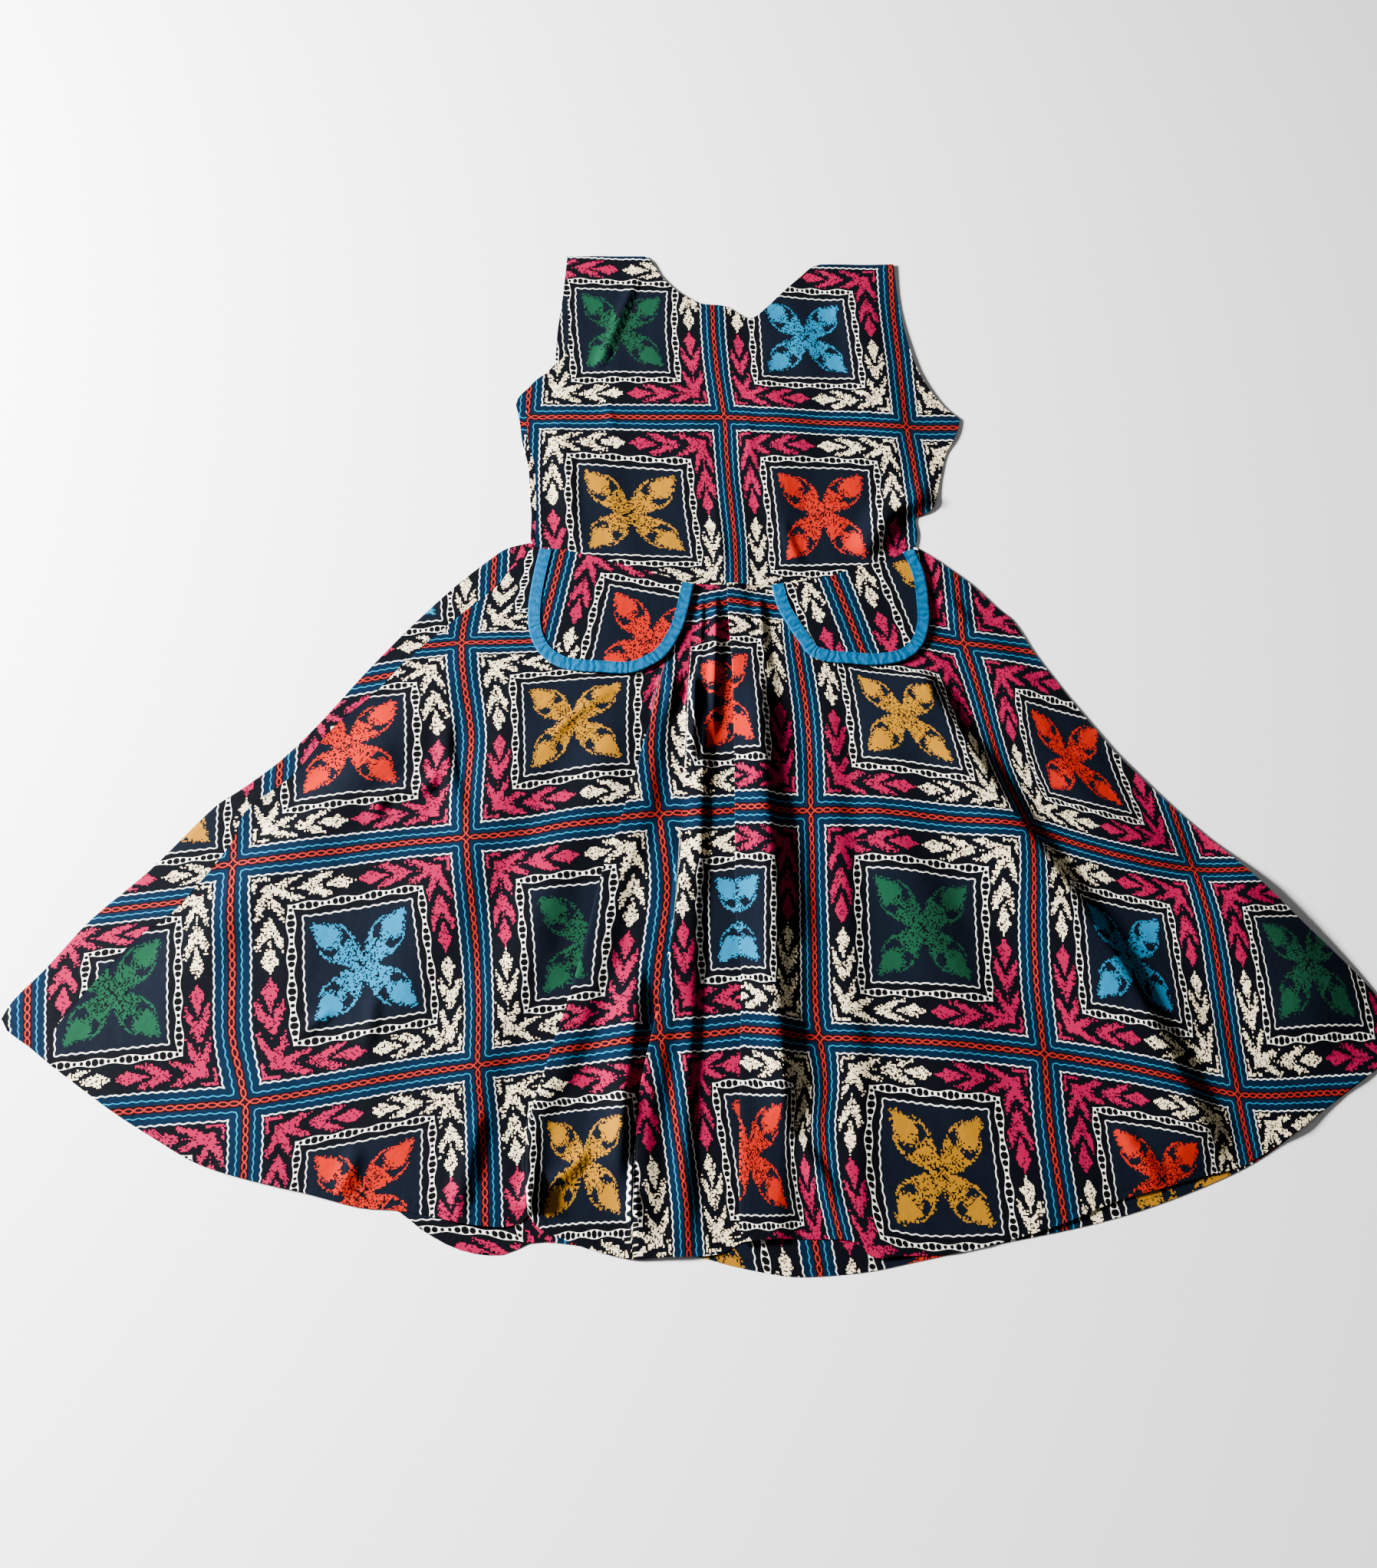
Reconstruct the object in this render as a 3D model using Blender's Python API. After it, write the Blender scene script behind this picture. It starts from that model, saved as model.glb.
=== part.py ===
"""A sleeveless wax print dress, laid flat on its back panels.

Frame: +X to the right of the dress as it lies, +Y towards the neck, +Z up, front face up.
The tables are in millimetres from the middle of the front waist seam. The finished
meshes are in metres, with the origin under the middle of the whole dress.
"""
import bpy
import numpy as np

# Driving sizes in millimetres
WALL = 1.0
SEAM_GAP = 0.3
SIDE_GAP = 0.4
WAIST_GAP = 0.9
BACK_LEVEL = WALL / 2
FRONT_LEVEL = 1.85
FOLD_RADIUS = (FRONT_LEVEL - BACK_LEVEL) / 2
PLEAT_LEVEL = 2.4
PLEAT_FADE = 25.0
BINDING_WALL = 1.0
BINDING_WIDTH = 13.0
FLAP_INSET = 0.7
EDGE_CALM = 22.0
FOLD_LEAD = 0.02
FLAP_DROP = 0.2
FLAP_SIDE = 0.3
BINDING_START = 0.004
SHARP_ANGLE = 0.9
ORIGIN_X = -34.0
ORIGIN_Y = -152.9
MM = 0.001

# How far the back panels' right edges, the back's neckline and its left waist corner lie
# from the front's outline, so that the back stays under the front
SKIRT_INSET = (-2.0, -1.5)
BODICE_INSET = (-2.0, -1.0)
NECK_INSET = (0.0, -2.0)
WAIST_CORNER = (-1.0, 1.0)

# Outlines. Columns: x_mm, y_mm, and 1 where the outline turns a corner
WAIST = [(-233, 49, 0), (-184, 41, 0), (-140, 28, 0), (-95, 15, 0), (-45, 1, 0), (0, 0, 0),
         (45, -1, 0), (114, 10, 0), (148, 23, 0), (183, 31, 0), (216, 49, 0)]
WAIST_BACK = [(-238, 56, 0), (-184, 40, 0), (-140, 27, 0), (-45, 1, 0), (45, -1, 0),
              (114, 9, 0), (183, 30, 0), (214, 47, 0)]
SIDE_SEAM = [(-233, 49, 0), (-258, 26, 0), (-274, 0, 0), (-315, -37, 0), (-375, -95, 0),
             (-411, -138, 0), (-453, -177, 0), (-494, -234, 0), (-543, -277, 0), (-558, -318, 0),
             (-617, -398, 0), (-641, -415, 0), (-681, -460, 0), (-716, -508, 0), (-728, -530, 0),
             (-722, -557, 0)]
SKIRT_LEFT_EDGE = [(-239, 55, 0), (-267, 47, 0), (-281, 37, 0), (-325, -2, 0), (-375, -55, 0),
                   (-423, -112, 0), (-472, -175, 0), (-512, -219, 0), (-552, -252, 0),
                   (-579, -272, 0), (-643, -345, 0), (-701, -401, 0), (-743, -455, 0),
                   (-772, -488, 0), (-782, -508, 0)]
SKIRT_RIGHT_EDGE = [(216, 49, 0), (232, 38, 0), (275, 4, 0), (308, -30, 0), (325, -46, 0),
                    (343, -80, 0), (372, -126, 0), (405, -175, 0), (432, -212, 0),
                    (490, -276, 0), (554, -339, 0), (612, -404, 0), (669, -466, 0),
                    (714, -525, 0)]
HEM_FRONT = [(-722, -557, 0), (-649, -606, 0), (-603, -633, 0), (-558, -657, 0),
             (-506, -672, 0), (-444, -686, 0), (-388, -700, 0), (-345, -703, 0),
             (-277, -716, 0), (-239, -719, 0), (-221, -714, 0), (-215, -707, 1),
             (-205, -719, 0), (-178, -731, 0), (-151, -741, 0), (-109, -750, 0),
             (-75, -748, 0), (-20, -745, 0), (1, -734, 1), (21, -731, 0), (75, -731, 0),
             (116, -733, 0), (132, -748, 0), (160, -747, 0), (214, -745, 0), (288, -728, 0),
             (331, -715, 0), (382, -695, 0), (433, -681, 0), (487, -667, 1), (519, -659, 0),
             (579, -624, 0), (641, -580, 0), (706, -537, 0), (714, -525, 0)]
HEM_BACK = [(-782, -508, 0), (-776, -519, 0), (-749, -537, 0), (-722, -557, 0),
            (-649, -604, 0), (-558, -654, 0), (-443, -684, 0), (-387, -699, 0),
            (-350, -703, 0), (-323, -722, 0), (-284, -741, 0), (-241, -746, 0),
            (-208, -734, 0), (-151, -739, 0), (-109, -747, 0), (-47, -747, 0), (-11, -756, 0),
            (43, -766, 0), (71, -767, 0), (130, -762, 0), (176, -753, 0), (260, -736, 0),
            (352, -718, 0), (416, -701, 0), (496, -672, 0), (545, -648, 0), (613, -601, 0),
            (671, -561, 0), (704, -536, 0), (711, -526, 0)]
BODICE_LEFT = [(-205, 459, 0), (-203, 385, 0), (-202, 323, 0), (-217, 296, 0), (-239, 278, 0),
               (-252, 261, 1), (-250, 241, 0), (-246, 190, 0), (-238, 162, 0), (-234, 119, 0),
               (-233, 83, 0), (-233, 49, 0)]
BODICE_LEFT_EDGE = [(-206, 461, 0), (-210, 400, 0), (-215, 351, 0), (-217, 301, 1),
                    (-230, 285, 0), (-258, 257, 0), (-263, 244, 0), (-259, 227, 0),
                    (-253, 188, 0), (-245, 156, 0), (-241, 109, 0), (-239, 93, 0),
                    (-239, 58, 0)]
BODICE_RIGHT = [(208, 447, 0), (210, 414, 0), (216, 358, 0), (229, 298, 0), (243, 266, 0),
                (261, 239, 0), (279, 222, 1), (277, 212, 0), (270, 194, 0), (259, 173, 0),
                (249, 133, 0), (241, 103, 0), (232, 94, 0), (219, 88, 0), (220, 66, 0),
                (216, 49, 0)]
BODICE_TOP = [(-205, 459, 0), (-155, 460, 0), (-107, 459, 1), (-98, 450, 0), (-87, 430, 0),
              (-65, 406, 0), (-37, 389, 0), (-6, 385, 0), (12, 373, 0), (25, 366, 1),
              (34, 371, 0), (49, 386, 0), (70, 409, 0), (90, 429, 0), (104, 443, 0),
              (115, 447, 1), (160, 447, 0), (208, 447, 0)]
FLAP_LEFT_EDGE = [(-226, 47, 0), (-233, 8, 0), (-237, -30, 0), (-235, -60, 0), (-225, -84, 0),
                  (-208, -100, 0), (-187, -108, 0), (-150, -111, 0), (-119, -112, 0),
                  (-99, -105, 0), (-79, -91, 0), (-62, -63, 0), (-54, -37, 0), (-46, 1, 0)]
FLAP_RIGHT_EDGE = [(46, -1, 0), (53, -30, 0), (64, -52, 0), (77, -74, 0), (90, -91, 0),
                   (110, -98, 0), (134, -100, 0), (157, -102, 0), (181, -100, 0),
                   (200, -94, 0), (217, -78, 0), (226, -52, 0), (227, -26, 0), (224, 12, 0),
                   (213, 46, 0)]

# Knife pleats of the front skirt, from waist to hem. The right side lies over the left.
PLEAT_LINES = {
    "left": [(-67, 6, 0), (-69, -36, 0), (-75, -85, 0), (-90, -140, 0), (-98, -184, 0),
             (-128, -295, 0), (-145, -346, 0), (-165, -434, 0), (-182, -497, 0),
             (-201, -557, 0), (-217, -609, 0), (-220, -659, 0), (-215, -707, 0)],
    "middle": [(-45, 1, 0), (-50, -85, 0), (-56, -225, 0), (-61, -315, 0), (-67, -391, 0),
               (-76, -455, 0), (-88, -518, 0), (-97, -559, 0), (-106, -612, 0),
               (-109, -689, 0), (-109, -750, 0)],
    "centre": [(-6, 0, 0), (-5, -27, 0), (0, -113, 0), (1, -270, 0), (1, -392, 0),
               (6, -451, 0), (4, -541, 0), (2, -644, 0), (1, -734, 0)],
}
RIGHT_FOLD = [(195, 36, 0), (197, -40, 0), (205, -100, 0), (225, -144, 0), (252, -187, 0),
              (272, -222, 0), (305, -280, 0), (330, -322, 0), (364, -390, 0), (407, -449, 0),
              (427, -496, 0), (441, -549, 0), (463, -596, 0), (479, -635, 0), (487, -667, 0)]

# Where each pleat starts to lift and has lain flat again, and its depth down its length
PLEAT_START = {"left": -98.0, "middle": -320.0, "centre": 120.0}
PLEAT_END = {"left": -707.0, "middle": -752.0, "centre": -900.0}
# The length over which it lifts, rests and folds, at its start and at its end
PLEAT_RAMPS = {"left": (24.0, 42.0), "middle": (34.0, 42.0), "centre": (34.0, 42.0)}
# Columns: y_mm, depth_mm
PLEAT_DEPTH = {
    "left": [(-150, 2.5), (-200, 9), (-260, 16), (-450, 18), (-560, 12), (-615, 2.5)],
    "middle": [(-380, 2.5), (-430, 8), (-480, 9), (-570, 8), (-650, 2.5)],
    "centre": [(0, 7), (-50, 13), (-110, 25), (-250, 36), (-480, 40), (-620, 36), (-760, 30)],
}

# The cross-section of a pleat, from its left to its right. Columns: share of the depth,
# offset_mm when folded, offset_mm when it has opened out flat, level in pleat heights
PLEAT_SECTION = [
    (0.0, -3.0, -8.0, 0.0), (1.0, 0.0, -5.0, 0.0), (1.0, 1.2, -3.0, 0.5), (1.0, 0.0, -1.0, 0.95),
    (0.0, 0.0, 1.0, 1.05), (0.0, -1.2, 3.0, 1.5), (0.0, 0.0, 5.0, 2.0), (1.0, 3.0, 8.0, 2.0),
]

# Soft folds raised in the cloth. Columns: path, width to its left and right when looking
# from its first point, height, and the share of its length over which each end fades
SKIRT_FOLDS = [
    ([(205, -95), (240, -160), (290, -240), (345, -335), (400, -425), (440, -510), (480, -600),
      (503, -667)], 34, 16, 8.5, 0.16),
    ([(250, -60), (330, -180), (430, -300), (520, -420), (570, -520)], 60, 60, 4.0, 0.3),
    ([(150, -110), (175, -300), (220, -500), (240, -720)], 70, 60, 3.5, 0.25),
    ([(90, -105), (105, -300), (120, -520), (120, -740)], 30, 34, 5.0, 0.15),
    ([(-30, -130), (-34, -260), (-38, -440), (-50, -640), (-50, -745)], 18, 18, 4.5, 0.15),
    ([(-207, -195), (-183, -166), (-140, -133)], 12, 10, 5.0, 0.3),
    ([(-328, -215), (-343, -250), (-389, -262), (-402, -298)], 14, 12, 4.0, 0.3),
    ([(-140, -615), (-160, -655), (-172, -672), (-195, -690), (-216, -709)], 12, 16, 8.0, 0.22),
    ([(-200, -130), (-290, -300), (-370, -480), (-420, -640)], 60, 60, 3.5, 0.3),
    ([(-330, -120), (-450, -260), (-560, -400), (-630, -520)], 50, 50, 3.0, 0.3),
    ([(-130, -130), (-180, -290), (-235, -450), (-275, -600), (-285, -700)], 45, 45, 3.5, 0.25),
    ([(-270, -640), (-279, -680), (-292, -714)], 14, 14, 4.5, 0.2),
    ([(-392, -640), (-410, -690)], 16, 16, 3.0, 0.2),
    ([(247, -14), (275, -55)], 12, 14, 3.0, 0.3),
    ([(-60, -4), (-64, -55), (-70, -110)], 6, 6, 2.6, 0.35),
    ([(-37, -5), (-39, -60), (-44, -125)], 7, 7, 3.2, 0.35),
    ([(-20, -4), (-20, -60), (-22, -120)], 7, 7, 3.0, 0.35),
    ([(30, -6), (40, -60), (60, -125)], 8, 8, 3.0, 0.35),
]
BODICE_FOLDS = [
    ([(-100, 442), (-122, 405), (-143, 350), (-163, 290)], 7, 9, 3.2, 0.25),
    ([(175, 128), (205, 115), (238, 97)], 14, 12, 6.0, 0.25),
    ([(150, 430), (170, 330), (190, 220), (180, 120)], 50, 45, 3.0, 0.3),
    ([(-150, 250), (-160, 160), (-150, 70)], 40, 40, 2.0, 0.3),
    ([(20, 240), (24, 205)], 7, 7, 1.6, 0.3),
    ([(165, 262), (168, 215)], 7, 7, 1.8, 0.3),
    ([(30, 340), (60, 200), (50, 60)], 50, 50, 2.2, 0.3),
]
FLAP_FOLDS = [
    ([(-230, -10), (-170, -40), (-110, -60)], 60, 60, 1.2, 0.3),
    ([(90, -50), (150, -30), (215, -40)], 60, 60, 1.2, 0.3),
]
# Where the skirt lies flat under the flaps. Columns: left, right, bottom
FLAP_BOXES = [(-240, -44, -114), (44, 230, -104)]
FLAP_CALM = 14.0

# Grid counts, how much the skirt's rows crowd towards the waist, and each strip's columns
# with how much they crowd towards its left side
SKIRT_ROWS = 24
ROW_CROWDING = 1.3
STRIP_COLUMNS = {"left": (11, 0.85), "inner": (2, 1.0), "middle": (5, 1.0), "right": (11, 1.5),
                 "far": (7, 1.4)}
BACK_COLUMNS = 18
BODICE_ROWS = (6, 2, 7)
BODICE_COLUMNS = (4, 5, 5, 4)
FLAP_ROWS = 7
FLAP_COLUMNS = 12
BINDING_STEPS = 34

# Colours. Columns: red, green, blue, roughness
COTTON_PRINT = (0.025, 0.035, 0.06, 0.62)
BINDING_BLUE = (0.0, 0.40, 0.80, 0.55)


def smooth_curve(table, steps=10):
    """A curve through a table's points, rounded by Catmull-Rom between its corners."""
    rows = [row if len(row) == 3 else (row[0], row[1], 0) for row in table]
    points = np.array([row[:2] for row in rows], float)
    corner = [bool(row[2]) for row in rows]
    out = [points[0]]
    for i in range(len(points) - 1):
        p1, p2 = points[i], points[i + 1]
        p0 = points[i - 1] if i > 0 and not corner[i] else 2 * p1 - p2
        p3 = points[i + 2] if i + 2 < len(points) and not corner[i + 1] else 2 * p2 - p1
        size = np.linalg.norm(p2 - p1)
        m1 = (p2 - p0) / max(np.linalg.norm(p2 - p0), 1e-6) * size
        m2 = (p3 - p1) / max(np.linalg.norm(p3 - p1), 1e-6) * size
        for k in range(1, steps + 1):
            u = k / steps
            out.append((2 * u**3 - 3 * u**2 + 1) * p1 + (u**3 - 2 * u**2 + u) * m1
                       + (3 * u**2 - 2 * u**3) * p2 + (u**3 - u**2) * m2)
    return np.array(out)


def lengths(points):
    """Distance along a curve at each of its points."""
    steps = np.linalg.norm(np.diff(points, axis=0), axis=1)
    return np.concatenate([[0.0], np.cumsum(steps)])


def at_share(points, shares):
    """Points at the given shares of a curve's length."""
    run = lengths(points)
    shares = np.clip(shares, 0, 1) * run[-1]
    return np.stack([np.interp(shares, run, points[:, 0]), np.interp(shares, run, points[:, 1])], -1)


def share_of(points, place):
    """The share of a curve's length at which it passes nearest to a place."""
    return near_curve(points, np.array([place], float))[2][0]


def part_of(points, start, end, count=60):
    """The stretch of a curve between two shares of its length."""
    return at_share(points, np.linspace(start, end, count))


def even_rows(points, counts, corners):
    """Shares of a curve with a given number of steps between its corners."""
    marks = [0.0] + [share_of(points, place) for place in corners] + [1.0]
    shares = [0.0]
    for i, count in enumerate(counts):
        shares += list(np.linspace(marks[i], marks[i + 1], count + 1)[1:])
    return np.array(shares)


def coons(top, bottom, left, right, s, t):
    """A patch between four curves. s and t hold the shares across and down."""
    a, b = at_share(left, t), at_share(right, t)
    c, d = at_share(top, s), at_share(bottom, s)
    s, t = np.clip(s, 0, 1)[..., None], t[..., None]
    corners = ((1 - s) * (1 - t) * top[0] + s * (1 - t) * top[-1]
               + (1 - s) * t * bottom[0] + s * t * bottom[-1])
    return (1 - s) * a + s * b + (1 - t) * c + t * d - corners


def ease(x, low, high):
    """A smooth step from 0 at low to 1 at high."""
    u = np.clip((x - low) / (high - low), 0, 1)
    return u * u * (3 - 2 * u)


def near_curve(path, xy):
    """Distance to a path, the side (positive to its left) and the share along it."""
    path = np.array(path, float)
    run = lengths(path)
    best = np.full(len(xy), 1e9)
    side = np.zeros(len(xy))
    share = np.zeros(len(xy))
    for i in range(len(path) - 1):
        leg = path[i + 1] - path[i]
        u = np.clip(((xy - path[i]) @ leg) / (leg @ leg), 0, 1)
        away = xy - (path[i] + u[:, None] * leg)
        gap = np.linalg.norm(away, axis=1)
        closer = gap < best
        best[closer] = gap[closer]
        side[closer] = (leg[0] * away[:, 1] - leg[1] * away[:, 0])[closer]
        share[closer] = ((run[i] + u * (run[i + 1] - run[i])) / run[-1])[closer]
    return best, side, share


def fold_height(folds, xy):
    """Height of the soft folds at each point."""
    height = np.zeros(len(xy))
    for path, width_left, width_right, rise, fade in folds:
        gap, side, share = near_curve(smooth_curve(path, 4), xy)
        width = np.where(side > 0, width_left, width_right)
        shape = np.cos(np.clip(gap / width, 0, 1) * np.pi / 2) ** 2
        height += rise * shape * ease(share, -FOLD_LEAD, fade) * ease(1 - share, -FOLD_LEAD, fade)
    return height


def calm(curves, xy):
    """0 on the given curves, rising to 1 a short way off."""
    factor = np.ones(len(xy))
    for curve in curves:
        gap = near_curve(curve, xy)[0]
        factor *= ease(gap, 0, EDGE_CALM)
    return factor


def thicken(points, quads, wall):
    """A closed wall of even thickness round a middle surface."""
    points = np.array(points, float)
    quads = np.array(quads)
    normals = np.zeros_like(points)
    for a, b, d in ((0, 1, 3), (1, 2, 0), (2, 3, 1), (3, 0, 2)):
        corner = np.cross(points[quads[:, b]] - points[quads[:, a]],
                          points[quads[:, d]] - points[quads[:, a]])
        corner /= np.maximum(np.linalg.norm(corner, axis=1), 1e-9)[:, None]
        np.add.at(normals, quads[:, a], corner)
    normals /= np.linalg.norm(normals, axis=1)[:, None]
    upper = points + normals * wall / 2
    lower = points - normals * wall / 2
    count = len(points)
    faces = []
    used = {}
    for quad in quads:
        a, b, c, d = (int(i) for i in quad)
        faces += [(a, b, c), (a, c, d)]
        faces += [(c + count, b + count, a + count), (d + count, c + count, a + count)]
        for edge in ((a, b), (b, c), (c, d), (d, a)):
            used[edge] = used.get(edge, 0) + 1
    for a, b in used:
        if (b, a) not in used:
            faces += [(b, a, a + count), (b, a + count, b + count)]
    return np.concatenate([upper, lower]), faces


def grid_quads(rows, columns, start=0):
    """Faces of a grid whose rows run down and columns run across, seen from above."""
    quads = []
    for i in range(rows - 1):
        for j in range(columns - 1):
            a = start + i * columns + j
            quads.append((a, a + columns, a + columns + 1, a + 1))
    return quads


def add_object(name, vertices, faces, colour):
    """A named object with its own material, in metres about the dress's own origin."""
    moved = (np.array(vertices) - np.array([ORIGIN_X, ORIGIN_Y, 0.0])) * MM
    mesh = bpy.data.meshes.new(name)
    mesh.from_pydata([tuple(v) for v in moved.tolist()], [], faces)
    material = bpy.data.materials.new(name + "_finish")
    material.use_nodes = True
    shader = material.node_tree.nodes["Principled BSDF"]
    shader.inputs["Base Color"].default_value = (*colour[:3], 1.0)
    shader.inputs["Roughness"].default_value = colour[3]
    shader.inputs["Metallic"].default_value = 0.0
    mesh.materials.append(material)
    mesh.shade_smooth()
    mesh.set_sharp_from_angle(angle=SHARP_ANGLE)
    mesh.validate()
    piece = bpy.data.objects.new(name, mesh)
    bpy.context.scene.collection.objects.link(piece)
    return piece


def pleat_state(name, y):
    """Depth of a pleat at a height, how far it has lifted and how far it has folded.

    Each layer lifts before the cloth folds back, so that the wall never crosses itself.
    """
    table = sorted(PLEAT_DEPTH[name])
    depth = np.interp(y, [row[0] for row in table], [row[1] for row in table])
    start_ramp, end_ramp = PLEAT_RAMPS[name]
    below = (PLEAT_START[name] - y) / start_ramp
    above = (y - PLEAT_END[name]) / end_ramp
    lifted = np.clip(np.minimum(below, above), 0, 1)
    folded = np.clip((np.minimum(below, above) - 2) / 2, 0, 1)
    return depth, lifted, folded


def skirt_height(xy, calm_curves):
    """Height of the front skirt's middle surface without its pleats."""
    rise = fold_height(SKIRT_FOLDS, xy) * calm(calm_curves, xy)
    for left, right, bottom in FLAP_BOXES:
        outside = np.max([left - xy[:, 0], xy[:, 0] - right, bottom - xy[:, 1]], axis=0)
        rise *= ease(outside, 0, FLAP_CALM)
    return FRONT_LEVEL + rise


def skirt_strips(t):
    """The five strips of the front skirt between its side edges, pleats and big fold."""
    waist, hem = smooth_curve(WAIST), smooth_curve(HEM_FRONT)
    tables = [SIDE_SEAM, PLEAT_LINES["left"], PLEAT_LINES["middle"], PLEAT_LINES["centre"],
              RIGHT_FOLD, SKIRT_RIGHT_EDGE]
    lines = [smooth_curve(table) for table in tables]
    strips = []
    for left, right in zip(lines[:-1], lines[1:]):
        top = part_of(waist, share_of(waist, left[0]), share_of(waist, right[0]))
        bottom = part_of(hem, share_of(hem, left[-1]), share_of(hem, right[-1]))
        top[0], top[-1], bottom[0], bottom[-1] = left[0], right[0], left[-1], right[-1]
        width = np.linalg.norm(at_share(right, t) - at_share(left, t), axis=1)
        strips.append({"curves": (top, bottom, left, right), "width": width,
                       "start_y": at_share(left, t)[:, 1], "end_y": at_share(right, t)[:, 1]})
    return strips


def skirt_front_surface():
    """Middle surface of the front skirt: strips of cloth joined by knife pleats."""
    t = np.linspace(0, 1, SKIRT_ROWS + 1) ** ROW_CROWDING
    strips = skirt_strips(t)
    names = ["left", "middle", "centre"]
    columns = list(STRIP_COLUMNS.values())
    first, last = PLEAT_SECTION[-1], PLEAT_SECTION[0]
    pieces = []
    for k, strip in enumerate(strips):
        width = strip["width"]
        start, stop = np.zeros(len(t)), np.ones(len(t))
        lifted = np.zeros(len(t))
        if 0 < k < 4:
            depth, lifted, folded = pleat_state(names[k - 1], strip["start_y"])
            start = (first[2] + (depth + first[1] - first[2]) * folded) / width
        if k < 3:
            folded = pleat_state(names[k], strip["end_y"])[2]
            stop = 1 + (last[2] + (last[1] - last[2]) * folded) / width
        count, crowding = columns[k]
        share = np.linspace(0, 1, count + 1)[None, 1 if k == 4 else 0:] ** crowding
        s = start[:, None] + (stop - start)[:, None] * share
        rows = np.repeat(t[:, None], s.shape[1], axis=1)
        away = (s - start[:, None]) * width[:, None]
        lift = 2 * PLEAT_LEVEL * lifted[:, None] * (1 - ease(away, 0, PLEAT_FADE))
        pieces.append((coons(*strip["curves"], s, rows), lift))
        if k == 3 or k == 4:
            continue
        after = strips[k + 1]
        depth, lifted, folded = pleat_state(names[k], after["start_y"])
        for share_depth, closed, opened, level in PLEAT_SECTION[1:-1]:
            offset = opened + (share_depth * depth + closed - opened) * folded
            before_line = coons(*strip["curves"], 1 + offset / width, t)
            past_line = coons(*after["curves"], offset / after["width"], t)
            place = np.where((offset < 0)[:, None], before_line, past_line)
            pieces.append((place[:, None], (level * PLEAT_LEVEL * lifted)[:, None]))
    flat = np.concatenate([piece[0] for piece in pieces], axis=1)
    lift = np.concatenate([piece[1] for piece in pieces], axis=1)
    xy = flat.reshape(-1, 2)
    calm_curves = [smooth_curve(WAIST), smooth_curve(SIDE_SEAM)]
    z = skirt_height(xy, calm_curves) + lift.reshape(-1)
    return np.column_stack([xy, z]), grid_quads(*lift.shape)


def wrapped_back(lower, edge, seam, first_row):
    """A back panel's flat sheet, folded over its left edge and returned to the side seam.

    lower is the flat sheet's grid, edge the folded edge and seam the seam on top, both
    with a point for each row from first_row down.
    """
    rows, columns = lower.shape[:2]
    flat = lower.reshape(-1, 2)
    points = [np.column_stack([flat, np.full(len(flat), BACK_LEVEL)])]
    quads = grid_quads(rows, columns)
    inward = seam - edge
    inward /= np.linalg.norm(inward, axis=1)[:, None]
    turn = edge + inward * (WALL / 2)
    over = edge + inward * (WALL / 2 + FOLD_RADIUS)
    levels = ((turn, BACK_LEVEL + FOLD_RADIUS), (over, FRONT_LEVEL),
              ((over + seam) / 2, FRONT_LEVEL), (seam, FRONT_LEVEL))
    previous = [(first_row + i) * columns for i in range(len(edge))]
    count = len(flat)
    for place, level in levels:
        points.append(np.column_stack([place, np.full(len(place), level)]))
        current = [count + i for i in range(len(place))]
        for i in range(len(place) - 1):
            quads.append((current[i], current[i + 1], previous[i + 1], previous[i]))
        previous = current
        count += len(place)
    return np.concatenate(points), quads


def skirt_back_surface():
    """Middle surface of the back skirt."""
    edge_curve = smooth_curve(SKIRT_LEFT_EDGE)
    seam_curve = smooth_curve(SIDE_SEAM)
    right = smooth_curve(SKIRT_RIGHT_EDGE) + np.array(SKIRT_INSET)
    waist = smooth_curve(WAIST_BACK) + np.array([0.0, -SEAM_GAP / 2])
    hem = smooth_curve(HEM_BACK)
    t = np.linspace(0, 1, SKIRT_ROWS + 1) ** ROW_CROWDING
    edge = at_share(edge_curve, t)
    seam = at_share(seam_curve, t)
    inward = seam - edge
    inward /= np.linalg.norm(inward, axis=1)[:, None]
    left = edge + inward * (WALL / 2 + FOLD_RADIUS)
    right[0], right[-1] = waist[-1], hem[-1]
    top, bottom = waist.copy(), hem.copy()
    top[0], bottom[0] = left[0], left[-1]
    s = np.repeat(np.linspace(0, 1, BACK_COLUMNS + 1)[None, :], len(t), axis=0)
    rows = np.repeat(t[:, None], BACK_COLUMNS + 1, axis=1)
    lower = coons(top, bottom, left, right, s, rows)
    lower[:, 0] = left
    return wrapped_back(lower, edge, seam - inward * SIDE_GAP, 0)


def bodice_grid(left, right, top, bottom):
    """Grid of a bodice panel between its left and right edge points, with columns at the straps."""
    neck = [BODICE_TOP[2][:2], BODICE_TOP[9][:2], BODICE_TOP[15][:2]]
    top_points = at_share(top, even_rows(top, BODICE_COLUMNS, neck))
    s = np.linspace(0, 1, len(top_points))
    bottom_points = at_share(bottom, s)
    top_points[0], bottom_points[0] = left[0], left[-1]
    top_points[-1], bottom_points[-1] = right[0], right[-1]
    run_left, run_right = lengths(left), lengths(right)
    t = (run_left / run_left[-1] + run_right / run_right[-1])[:, None, None] / 2
    s = s[None, :, None]
    corners = ((1 - s) * (1 - t) * top_points[0] + s * (1 - t) * top_points[-1]
               + (1 - s) * t * bottom_points[0] + s * t * bottom_points[-1])
    return ((1 - s) * left[:, None] + s * right[:, None] + (1 - t) * top_points[None]
            + t * bottom_points[None] - corners)


def bodice_side(table, corners, shift=(0.0, 0.0)):
    """Edge points of a bodice panel, with rows at the armhole's end and the underarm."""
    curve = smooth_curve(table)
    return at_share(curve, even_rows(curve, BODICE_ROWS, corners)) + np.array(shift)


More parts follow.
